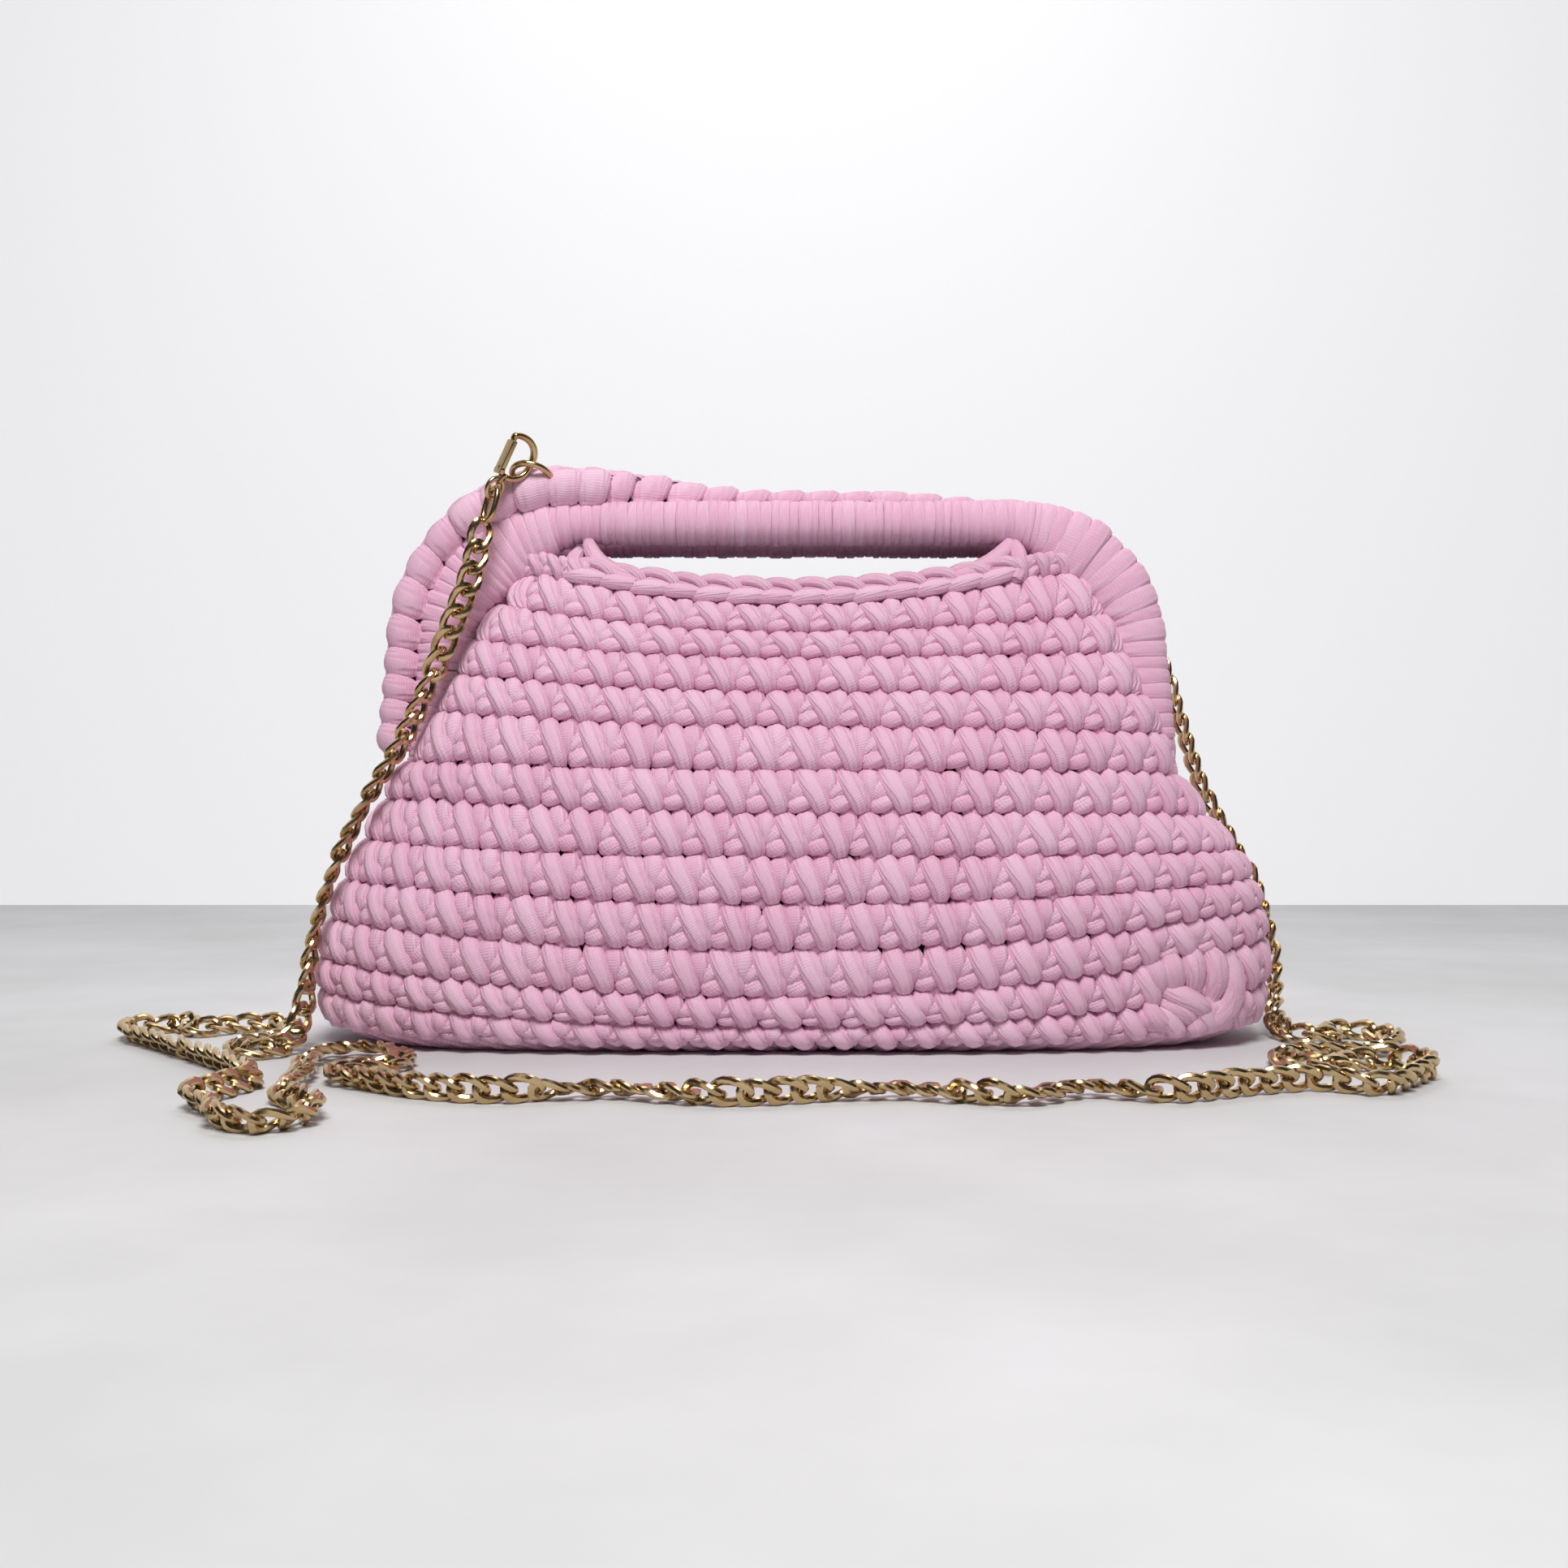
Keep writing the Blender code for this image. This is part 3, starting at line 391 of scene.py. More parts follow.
def section_ring(height):
    """Points round the bag at one height in mm, evenly spaced from the middle of the front."""
    left, right, depth, square = (
        float(smooth_read(SECTIONS[:, 0], SECTIONS[:, k], height)) for k in range(1, 5)
    )
    ring = []
    for half_width, start in ((right, -90.0), (left, 90.0)):
        angle = np.radians(np.linspace(start, start + 180.0, 1441))
        power = 2.0 / square
        x = half_width * np.sign(np.cos(angle)) * np.abs(np.cos(angle)) ** power
        y = depth * np.sign(np.sin(angle)) * np.abs(np.sin(angle)) ** power
        length = np.concatenate([[0.0], np.cumsum(np.hypot(np.diff(x), np.diff(y)))])
        wanted = np.linspace(0.0, length[-1], RING_STEPS // 2 + 1)[:-1]
        ring += list(zip(np.interp(wanted, length, x), np.interp(wanted, length, y)))
    return np.array(ring)


HEIGHTS = np.linspace(0.0, SECTIONS[-1, 0], HEIGHT_STEPS)
RINGS = np.stack([section_ring(h) for h in HEIGHTS])


def ring_at(share, height):
    """(x, y) in mm at a share of the way round and a height in mm; both may be arrays."""
    column = np.mod(share, 1.0) * RING_STEPS
    row = np.clip(height / HEIGHTS[-1], 0, 1) * (HEIGHT_STEPS - 1)
    c0, r0 = np.floor(column).astype(int), np.minimum(np.floor(row).astype(int), HEIGHT_STEPS - 2)
    fc, fr = (column - c0)[..., None], (row - r0)[..., None]
    c0, c1 = c0 % RING_STEPS, (c0 + 1) % RING_STEPS
    low = RINGS[r0, c0] * (1 - fc) + RINGS[r0, c1] * fc
    high = RINGS[r0 + 1, c0] * (1 - fc) + RINGS[r0 + 1, c1] * fc
    return low * (1 - fr) + high * fr


def row_height(row, x):
    """Height in mm of a place counted in rows, at a place across the bag. The rows sag in the middle."""
    out_left, left, middle, right, out_right = (
        smooth_read(np.arange(TOP_ROW + 1), ROW_LINES[:, k], row) for k in range(5)
    )
    reach = np.clip(np.abs(x) / np.where(x < 0, out_left, out_right), 0.0, 1.15)
    return middle + (np.where(x < 0, left, right) - middle) * reach**2


# Where the front slumps inwards: across and up, how wide and how deep, all in mm
DENTS = ((124.0, 20.2, 19.5, 5.0), (86.8, 14.1, 18.0, 2.0), (-93.0, 79.2, 22.2, 1.7))


def dents(x, y, z):
    """How far in mm the front is pressed in, where the real bag slumps."""
    depth = np.zeros_like(x)
    for across, height, reach, deep in DENTS:
        away = np.hypot(x - across, z - height)
        depth += np.where(y < 0, deep * np.exp(-2.0 * (away / reach) ** 2), 0.0)
    return depth


def pouch_place(share, row):
    """Place in metres on the pouch's surface."""
    share, row = np.broadcast_arrays(np.asarray(share, float), np.asarray(row, float))
    upper = np.maximum(row, 0.0)
    height = smooth_read(np.arange(TOP_ROW + 1), ROW_LINES[:, 2], upper)
    for _ in range(4):
        height = row_height(upper, ring_at(share, height)[..., 0])
    spot = ring_at(share, height)
    away = np.maximum(np.hypot(spot[..., 0], spot[..., 1]), 1.0)
    pressed = 1.0 - dents(spot[..., 0], spot[..., 1], height) / away
    under = 1.0 + np.minimum(row, 0.0) / (BASE_ROWS + 0.5)
    height = height * np.clip(1.0 + row / 0.6, 0.0, 1.0) ** 2
    return np.stack([spot[..., 0] * pressed * under, spot[..., 1] * pressed * under, height], -1) * MM


def pouch_outward(share, row, step=0.004):
    """Outward direction at a place on the pouch's surface."""
    across = pouch_place(share + step, row) - pouch_place(share - step, row)
    up = pouch_place(share, row + step * 30) - pouch_place(share, row - step * 30)
    normal = np.cross(across, up)
    return normal / np.maximum(np.linalg.norm(normal, axis=-1), 1e-12)[..., None]


middle_widths = [round(float(ring_at(0.25, h)[0] - ring_at(0.75, h)[0]), 1) for h in (0.0, 34.0, 88.0)]
print("pouch width in mm at the floor, its widest and the side rim:", middle_widths)

# %% [markdown]
# ## Surface mesh with a flat map
# Geometry Nodes will lay the stitches out flat, like a knitting chart, and then wrap the chart onto
# the bag. For that the surface becomes a grid whose UV map is the chart: millimetres from the middle
# along a row, and rows up. A row high on the bag is shorter than one low down. Counting from the
# middle keeps the columns upright there, so the front and the back have a chart each, and both run a
# little past the side where they meet.

# %% Build the charted surfaces
CHART_REACH = 0.225
CHART_ROW = 0.0139
LOWEST, HIGHEST = -BASE_ROWS - 0.3, TOP_ROW + 0.9
# Over the top row the chart goes straight up, so many mm for a row
ABOVE_RIM = 9.0


def row_arcs(row, offset):
    """Shares of the way round on both sides of a middle, and how far in mm each is from it along the row."""
    shares = offset + np.linspace(-0.52, 0.52, 1041)
    places = pouch_place(shares, np.full(len(shares), max(row, 0.0))) / MM
    length = np.concatenate([[0.0], np.cumsum(np.linalg.norm(np.diff(places, axis=0), axis=1))])
    return shares, length - length[520]


def chart_uv(along, up):
    """UV of a place on the flat chart, in metres."""
    low, high = LOWEST * CHART_ROW, HIGHEST * CHART_ROW
    return 0.5 + 0.48 * along / CHART_REACH, 0.02 + 0.96 * (up - low) / (high - low)


def charted_surface(name, offset):
    along = np.linspace(-CHART_REACH, CHART_REACH, 211)
    rows = np.linspace(LOWEST, HIGHEST, 131)
    share = np.stack([np.interp(along / MM, *row_arcs(row, offset)[::-1]) for row in rows])
    grid_row = np.repeat(rows[:, None], len(along), 1)
    places = pouch_place(share, grid_row)
    outward = pouch_outward(share, np.minimum(grid_row, TOP_ROW - 0.2))
    places[..., 2] += np.maximum(grid_row - TOP_ROW, 0.0) * ABOVE_RIM * MM
    wide = len(along)
    faces = [
        (r * wide + c, r * wide + c + 1, (r + 1) * wide + c + 1, (r + 1) * wide + c)
        for r in range(len(rows) - 1)
        for c in range(wide - 1)
    ]
    mesh = bpy.data.meshes.new(name)
    mesh.from_pydata(places.reshape(-1, 3).tolist(), [], faces)
    attribute = mesh.attributes.new("outward", "FLOAT_VECTOR", "POINT")
    attribute.data.foreach_set("vector", outward.reshape(-1, 3).astype(np.float32).ravel())
    u, v = chart_uv(np.tile(along, len(rows)), np.repeat(rows, wide) * CHART_ROW)
    order = np.array(faces).ravel()
    chart_map = np.stack([u[order], v[order]], 1).astype(np.float32)
    mesh.uv_layers.new(name="chart").data.foreach_set("uv", chart_map.ravel())
    return add_object(name, mesh)


surfaces = [charted_surface("front_chart", 0.0), charted_surface("rear_chart", 0.5)]
print("charted surfaces:", [len(s.data.polygons) for s in surfaces], "faces")

# %% [markdown]
# ## One stitch
# A single crochet stitch in rolled yarn shows seven short pieces of one strand. A fat leaf leans from
# the upper left to the lower right. To its right stands a leg that is widest at the top and slips
# down between the leaf and the next stitch, with a thin second strand beside it. Two short bands
# climb under the leaf from the lower left, one above the other, and two small bumps of the loop hang
# into the groove below. Each is a table of a few places: across and up in shares of the stitch, then
# how far below the crest the strand's middle lies, its half width and half thickness in mm. Four
# versions of the stitch differ in how the strip has folded, because on the real bag no two are the
# same. Two more close the ends of a row with crescents that turn away to the back, and the last
# template is the swirl at the lower right corner.

# %% Stitch strands
STITCH_WIDTH = 0.0128
CREST_DEPTH = 1.4
# across, up, depth, half width, half thickness
LEAF = (
    (0.40, 1.01, -6.2, 1.4, 1.4),
    (0.44, 0.93, -4.2, 2.8, 2.2),
    (0.50, 0.80, -2.3, 3.6, 2.7),
    (0.59, 0.62, -1.3, 3.7, 2.8),
    (0.69, 0.44, -1.1, 3.5, 2.8),
    (0.77, 0.27, -1.1, 3.2, 2.7),
    (0.82, 0.13, -1.6, 2.8, 2.5),
    (0.84, 0.05, -3.0, 2.1, 2.0),
    (0.85, 0.00, -5.0, 1.1, 1.2),
)
NARROW_LEAF = (
    (0.35, 1.00, -6.2, 1.3, 1.4),
    (0.39, 0.92, -4.1, 2.4, 2.1),
    (0.45, 0.78, -2.2, 3.0, 2.6),
    (0.53, 0.60, -1.3, 3.0, 2.8),
    (0.62, 0.42, -1.1, 2.9, 2.8),
    (0.70, 0.26, -1.1, 2.8, 2.7),
    (0.76, 0.13, -1.7, 2.5, 2.4),
    (0.78, 0.05, -3.1, 1.9, 2.0),
    (0.79, 0.00, -5.0, 1.0, 1.2),
)
LEAF_FOLD = (
    (0.46, 1.00, -6.2, 1.1, 1.3),
    (0.54, 0.91, -4.0, 1.9, 2.0),
    (0.65, 0.75, -2.3, 2.2, 2.4),
    (0.77, 0.53, -1.7, 2.3, 2.4),
    (0.86, 0.31, -1.8, 2.1, 2.3),
    (0.90, 0.14, -2.4, 1.8, 2.1),
    (0.91, 0.04, -4.8, 1.1, 1.3),
)
LEG = (
    (0.97, 0.99, -6.2, 1.5, 1.4),
    (0.98, 0.91, -4.0, 2.5, 2.1),
    (1.00, 0.79, -2.2, 3.1, 2.6),
    (1.01, 0.62, -1.7, 3.0, 2.6),
    (1.03, 0.43, -2.3, 2.3, 2.3),
    (1.04, 0.26, -3.9, 1.6, 1.9),
    (1.04, 0.13, -5.8, 1.1, 1.2),
)
SECOND_LEG = (
    (0.79, 1.00, -6.2, 1.0, 1.2),
    (0.82, 0.92, -4.0, 1.5, 1.6),
    (0.87, 0.79, -3.0, 1.6, 1.8),
    (0.92, 0.60, -3.4, 1.4, 1.6),
    (0.96, 0.42, -5.2, 1.0, 1.2),
)
LOW_BAND = (
    (0.06, 0.11, -5.4, 1.4, 1.2),
    (0.13, 0.14, -3.2, 2.4, 2.0),
    (0.23, 0.18, -2.0, 2.9, 2.4),
    (0.38, 0.24, -2.1, 3.0, 2.4),
    (0.54, 0.32, -3.4, 2.6, 2.0),
    (0.68, 0.40, -5.2, 1.8, 1.5),
)
HIGH_BAND = (
    (0.02, 0.28, -5.0, 1.5, 1.4),
    (0.09, 0.37, -3.0, 2.4, 2.1),
    (0.20, 0.47, -1.9, 2.8, 2.4),
    (0.34, 0.57, -2.2, 2.8, 2.3),
    (0.50, 0.67, -4.2, 2.0, 1.7),
)
FIRST_BUMP = (
    (0.38, 0.12, -5.2, 1.4, 1.3),
    (0.41, 0.03, -3.7, 1.9, 1.7),
    (0.45, -0.07, -3.3, 1.8, 1.6),
    (0.48, -0.15, -5.4, 1.1, 1.0),
)
NEXT_BUMP = (
    (0.55, 0.13, -5.2, 1.4, 1.3),
    (0.59, 0.04, -3.6, 2.0, 1.7),
    (0.63, -0.05, -3.1, 1.9, 1.6),
    (0.66, -0.13, -5.4, 1.1, 1.0),
)
CRESCENT = (
    (0.44, 1.00, -5.0, 1.4, 1.3),
    (0.16, 0.93, -3.3, 2.4, 2.0),
    (-0.04, 0.73, -2.8, 3.0, 2.3),
    (-0.12, 0.48, -3.0, 3.2, 2.4),
    (-0.05, 0.23, -3.2, 2.9, 2.3),
    (0.14, 0.05, -3.9, 2.2, 1.9),
    (0.42, -0.02, -5.4, 1.3, 1.2),
)

# The last round was drawn together in a swirl at the lower right corner. In mm from the swirl's middle:
# across, up, depth, half width, half thickness
SWIRL = (
    (
        (-8.0, 6.5, -3.8, 1.8, 1.6), (-4.0, 3.5, -1.7, 3.3, 2.7), (1.5, 0.0, -1.3, 3.7, 2.8),
        (6.5, -3.5, -1.8, 3.0, 2.4), (9.5, -6.5, -4.2, 1.6, 1.4),
    ),
    (
        (-9.0, 1.5, -3.8, 1.6, 1.5), (-4.5, -1.5, -2.0, 3.0, 2.4), (1.0, -5.5, -2.0, 3.2, 2.4),
        (5.0, -9.0, -3.8, 1.8, 1.5),
    ),
    (
        (-13.0, 18.0, -3.6, 1.8, 1.6), (-11.0, 13.0, -1.6, 3.4, 2.6), (-9.5, 8.0, -1.6, 3.2, 2.5),
        (-9.0, 3.0, -4.0, 2.0, 1.6),
    ),
    (
        (-5.5, 19.0, -3.6, 1.8, 1.6), (-5.0, 13.0, -1.2, 3.6, 2.8), (-3.5, 7.5, -1.4, 3.4, 2.6),
        (-2.0, 2.0, -4.0, 2.0, 1.6),
    ),
    (
        (2.0, 19.0, -3.6, 2.0, 1.6), (2.5, 13.5, -1.2, 3.8, 2.8), (3.5, 8.0, -1.2, 3.6, 2.7),
        (4.0, 2.0, -3.6, 2.4, 1.8),
    ),
    (
        (8.5, 18.0, -3.6, 2.0, 1.6), (11.0, 12.0, -1.4, 3.8, 2.8), (11.5, 5.0, -1.4, 4.0, 2.8),
        (9.5, -1.5, -3.4, 2.4, 1.8),
    ),
    (
        (15.0, 15.0, -3.8, 2.0, 1.6), (18.5, 8.0, -1.8, 4.0, 2.8), (18.0, -1.0, -1.6, 4.4, 3.0),
        (13.0, -9.0, -2.0, 4.0, 2.8), (7.0, -13.0, -4.2, 2.2, 1.8),
    ),
    (
        (-12.0, 3.0, -3.6, 1.6, 1.6), (-12.5, -2.0, -1.8, 3.2, 2.5), (-9.0, -7.0, -1.8, 3.6, 2.6),
        (-3.0, -9.0, -3.8, 2.2, 1.8),
    ),
    (
        (-7.0, -6.0, -3.8, 2.0, 1.6), (-4.0, -10.5, -2.0, 3.6, 2.6), (-3.0, -16.0, -4.0, 2.4, 1.8),
    ),
    (
        (1.0, -5.0, -3.8, 2.0, 1.6), (4.0, -10.5, -1.9, 3.8, 2.7), (5.0, -16.5, -4.0, 2.4, 1.8),
    ),
)


def flat_strand(table, steps, sides):
    """A strand of the chart, from a table in shares of a stitch; the stitch's middle is the origin."""
    rows = finer(table, steps)
    across, up = (rows[:, 0] - 0.5) * STITCH_WIDTH, (rows[:, 1] - 0.5) * CHART_ROW
    path = np.stack([across, up, (rows[:, 2] - CREST_DEPTH) * MM], 1)
    return sweep(path, (0.0, 0.0, 1.0), rows[:, 3] * MM, rows[:, 4] * MM, sides)


# The swirl is drawn at about 0.94 of its table's size, a little fatter, and stands a little further out
SWIRL_WIDTH, SWIRL_HEIGHT, SWIRL_RISE, SWIRL_FAT = 13.6, 14.8, 1.1, 1.02


def swirl_strand(table):
    shares = [
        (x / SWIRL_WIDTH + 0.5, y / SWIRL_HEIGHT + 0.5, d + SWIRL_RISE, SWIRL_FAT * w, t)
        for x, y, d, w, t in table
    ]
    return flat_strand(shares, 9, 10)


def changed(table, across=0.0, wide=1.0, deep=0.0):
    return [(a + across, u, d - deep, w * wide, t) for a, u, d, w, t in table]


def template_collection(name, meshes):
    """Templates wait in a collection of their own until a tree has copied them."""
    collection = bpy.data.collections.new(name)
    bpy.context.scene.collection.children.link(collection)
    for number, mesh in enumerate(meshes):
        collection.objects.link(bpy.data.objects.new(f"{name}_{number:02d}", mesh))
    return collection


def stitch_meshes():
    tables = ((LOW_BAND, 7, 8), (HIGH_BAND, 6, 8), (FIRST_BUMP, 4, 6), (NEXT_BUMP, 4, 6))
    small = [flat_strand(*row) for row in tables]
    legs = [flat_strand(LEG, 8, 9), flat_strand(SECOND_LEG, 6, 6)]
    leaf, narrow = flat_strand(LEAF, 10, 12), flat_strand(NARROW_LEAF, 10, 10)
    fold = flat_strand(LEAF_FOLD, 9, 8)
    wide_leg = [flat_strand(changed(LEG, -0.03, 1.15), 8, 9)]
    high = changed(HIGH_BAND, 0.02, 1.2)
    one_band = [flat_strand(changed(LOW_BAND, 0.02, 0.9), 7, 8), flat_strand(high, 6, 8), *small[2:]]
    crescents = [changed(CRESCENT), changed(CRESCENT, 0.20, 0.8, 0.3), changed(CRESCENT, 0.40, 0.8, 0.4)]
    left_end = [flat_strand(table, 9, 8) for table in crescents]
    mirrored = [[(1.0 - a, u, d, w, t) for a, u, d, w, t in table] for table in crescents]
    right_end = [flat_strand(table, 9, 8) for table in mirrored]
    kinds = [
        [leaf, *legs, *small],
        [narrow, fold, *legs, *small],
        [leaf, *wide_leg, *one_band],
        [narrow, fold, *wide_leg, *small],
        left_end,
        right_end,
        [swirl_strand(table) for table in SWIRL],
    ]
    return [mesh_of(f"stitch_{k}", strands) for k, strands in enumerate(kinds)]


LEFT_END, RIGHT_END, SWIRLED = 4, 5, 6
stitches = template_collection("stitch", stitch_meshes())

# %% [markdown]
# ## Two trees
# The first tree copies a template onto points that carry their own directions and sizes. It serves
# the winding, the edging, the braid and the chain. The second one lays stitches on the flat chart
# and wraps them: every vertex looks up the surface point under it in the UV map, and moves there,
# plus its own depth along the outward direction. Both jitter their copies from a fixed seed, store a
# random tone for the dye, and end in Realize Instances and Set Material, so that nothing is left as
# an instance.


# %% Build the trees
def start_tree(name, extra):
    tree = bpy.data.node_groups.new(name, "GeometryNodeTree")
    shared = {"Geometry": "Geometry", "Templates": "Collection", "Material": "Material", "Seed": "Int"}
    spreads = {"Lean": "Float", "Lean spread": "Float", "Size spread": "Float"}
    for label, kind in {**shared, **spreads, **extra}.items():
        tree.interface.new_socket(label, in_out="INPUT", socket_type="NodeSocket" + kind)
    tree.interface.new_socket("Geometry", in_out="OUTPUT", socket_type="NodeSocketGeometry")
    return tree, add(tree, "NodeGroupInput").outputs


def spread_value(tree, given, middle, spread):
    """A random value for each copy, up to the named spread on both sides of the middle."""
    least = add(tree, "ShaderNodeMath", {0: middle, 1: given[spread]}, operation="SUBTRACT")
    most = add(tree, "ShaderNodeMath", {0: middle, 1: given[spread]}, operation="ADD")
    limits = {"Min": least, "Max": most, "Seed": given["Seed"]}
    return add(tree, "FunctionNodeRandomValue", limits, data_type="FLOAT")


def copies(tree, given, rotation):
    """Copies of the templates on the points, leaning and sized at random, each with a tone."""
    chosen = add(tree, "GeometryNodeCollectionInfo", {"Collection": given["Templates"]})
    chosen.inputs["Separate Children"].default_value = True
    kind = add(tree, "GeometryNodeInputNamedAttribute", {"Name": "kind"}, data_type="INT")
    size = add(tree, "GeometryNodeInputNamedAttribute", {"Name": "size"}, data_type="FLOAT_VECTOR")
    grow = spread_value(tree, given, 1.0, "Size spread")
    scale = add(tree, "ShaderNodeVectorMath", {0: size, "Scale": grow}, operation="SCALE")
    source = {"Points": given["Geometry"], "Instance": chosen, "Instance Index": kind}
    placed = add(tree, "GeometryNodeInstanceOnPoints", {**source, "Rotation": rotation, "Scale": scale})
    placed.inputs["Pick Instance"].default_value = True
    lean = spread_value(tree, given, given["Lean"], "Lean spread")
    turn = add(tree, "ShaderNodeCombineXYZ", {"Z": lean})
    leaning = add(tree, "GeometryNodeRotateInstances", {"Instances": placed, "Rotation": turn})
    tone = add(tree, "FunctionNodeRandomValue", {"Seed": given["Seed"]}, data_type="FLOAT")
    return add(
        tree,
        "GeometryNodeStoreNamedAttribute",
        {"Geometry": leaning, "Name": "tone", "Value": tone},
        data_type="FLOAT",
        domain="INSTANCE",
    )


def end_tree(tree, given, geometry):
    painted = add(tree, "GeometryNodeSetMaterial", {"Geometry": geometry, "Material": given["Material"]})
    add(tree, "NodeGroupOutput", {"Geometry": painted})
    return tree


def placing_tree():
    tree, given = start_tree("Copies on points", {})
    along = add(tree, "GeometryNodeInputNamedAttribute", {"Name": "along"}, data_type="FLOAT_VECTOR")
    outward = add(tree, "GeometryNodeInputNamedAttribute", {"Name": "outward"}, data_type="FLOAT_VECTOR")
    axes = {"Primary Axis": outward, "Secondary Axis": along}
    rotation = add(tree, "FunctionNodeAxesToRotation", axes, primary_axis="Z", secondary_axis="X")
    solid = add(tree, "GeometryNodeRealizeInstances", {"Geometry": copies(tree, given, rotation)})
    return end_tree(tree, given, solid)


def wrapping_tree():
    extra = {"Surface": "Object", "UV origin": "Vector", "UV scale": "Vector"}
    tree, given = start_tree("Stitches on the chart", extra)
    flat = add(tree, "GeometryNodeRealizeInstances", {"Geometry": copies(tree, given, (0.0, 0.0, 0.0))})
    bag = add(tree, "GeometryNodeObjectInfo", {"Object": given["Surface"]}).outputs["Geometry"]
    chart = add(tree, "GeometryNodeInputNamedAttribute", {"Name": "chart"}, data_type="FLOAT_VECTOR")
    outward = add(tree, "GeometryNodeInputNamedAttribute", {"Name": "outward"}, data_type="FLOAT_VECTOR")
    here = add(tree, "GeometryNodeInputPosition")
    split = add(tree, "ShaderNodeSeparateXYZ", {"Vector": here})
    on_chart = {0: here, 1: given["UV scale"], 2: given["UV origin"]}
    sample = add(tree, "ShaderNodeVectorMath", on_chart, operation="MULTIPLY_ADD")
    found = {"Mesh": bag, "UV Map": chart, "Sample UV": sample}
    place = add(tree, "GeometryNodeSampleUVSurface", {**found, "Value": here}, data_type="FLOAT_VECTOR")
    facing = add(tree, "GeometryNodeSampleUVSurface", {**found, "Value": outward}, data_type="FLOAT_VECTOR")
    lifted = {0: facing, "Scale": split.outputs["Z"]}
    lift = add(tree, "ShaderNodeVectorMath", lifted, operation="SCALE")
    final = add(tree, "ShaderNodeVectorMath", {0: place, 1: lift}, operation="ADD")
    wrapped = add(tree, "GeometryNodeSetPosition", {"Geometry": flat, "Position": final})
    return end_tree(tree, given, wrapped)


PLACING = placing_tree()
WRAPPING = wrapping_tree()
print("trees:", PLACING.name, len(PLACING.nodes), "nodes;", WRAPPING.name, len(WRAPPING.nodes), "nodes")


# %% Run a tree and keep its result as a plain mesh
def run_tree(name, tree, points, templates, material, **values):
    """Points is a dict of arrays: place, and any of along, outward, size and kind."""
    mesh = bpy.data.meshes.new(name)
    mesh.from_pydata(np.asarray(points["place"], float).tolist(), [], [])
    count = len(mesh.vertices)
    for label in ("along", "outward", "size"):
        data = np.broadcast_to(np.asarray(points.get(label, (1.0, 1.0, 1.0)), float), (count, 3))
        attribute = mesh.attributes.new(label, "FLOAT_VECTOR", "POINT")
        attribute.data.foreach_set("vector", data.astype(np.float32).ravel())
    kinds = np.broadcast_to(np.asarray(points.get("kind", 0)), count).astype(np.int32)
    mesh.attributes.new("kind", "INT", "POINT").data.foreach_set("value", kinds)
    carrier = add_object(name, mesh)
    modifier = carrier.modifiers.new("Nodes", "NODES")
    modifier.node_group = tree
    wanted = {"Templates": templates, "Material": material, "Seed": 1, **values}
    for item in tree.interface.items_tree:
        if item.in_out == "INPUT" and item.name in wanted:
            modifier[item.identifier] = wanted[item.name]
    graph = bpy.context.evaluated_depsgraph_get()
    result = bpy.data.meshes.new_from_object(carrier.evaluated_get(graph))
    bpy.data.objects.remove(carrier)
    for attribute in [a for a in result.attributes if a.name in ("along", "outward", "size", "kind")]:
        result.attributes.remove(attribute)
    result.name = name
    piece = add_object(name, result)
    print(f"{name}: {count} copies, {len(result.polygons)} faces")
    return piece


# %% [markdown]
# ## Stitches of the pouch
# A row that goes all the way round has as many stitches as fit its length. Above the side rim the
# bag is two separate panels, and a row runs from one frame's leg to the other. Each row starts a
# little further on than the one below it, which makes the slanting columns that the real bag shows.

# %% Lay out the chart
RIM_ROW = 7
ROW_SHIFT = 0.14
SWIRL_X, SWIRL_ROW = 124.0, 0.98
# No other stitch stays this near to the swirl's middle, in mm
SWIRL_ROOM = 8.0
PITCH_MM = 12.7
# A stitch is drawn a little wider than its place, so that it presses on the next one
STITCH_OVERLAP = 1.02
# How often each of the four versions comes
VERSION_SHARES = (0.40, 0.28, 0.16, 0.16)


def row_stitches(row, side, low, high, shift=0.0):
    """Stitches between two places in mm on one side's chart: (side, along, row, width, height, kind)."""
    count = max(1, round((high - low) / PITCH_MM))
    width = (high - low) / count
    return [(side, low + (k + 0.5 + shift) * width, row, width, 1.0, -1) for k in range(count)]


def panel_place(row, side, x):
    """Place on one side's chart in mm along its row, from places in mm across the bag."""
    offset = 0.5 * side
    shares, length = row_arcs(row, offset)
    near = np.abs(shares - offset) < 0.26
    across = pouch_place(shares[near], np.full(near.sum(), row))[:, 0] / MM
    order = np.argsort(across)
    return np.sort(np.interp(x, across[order], length[near][order]))


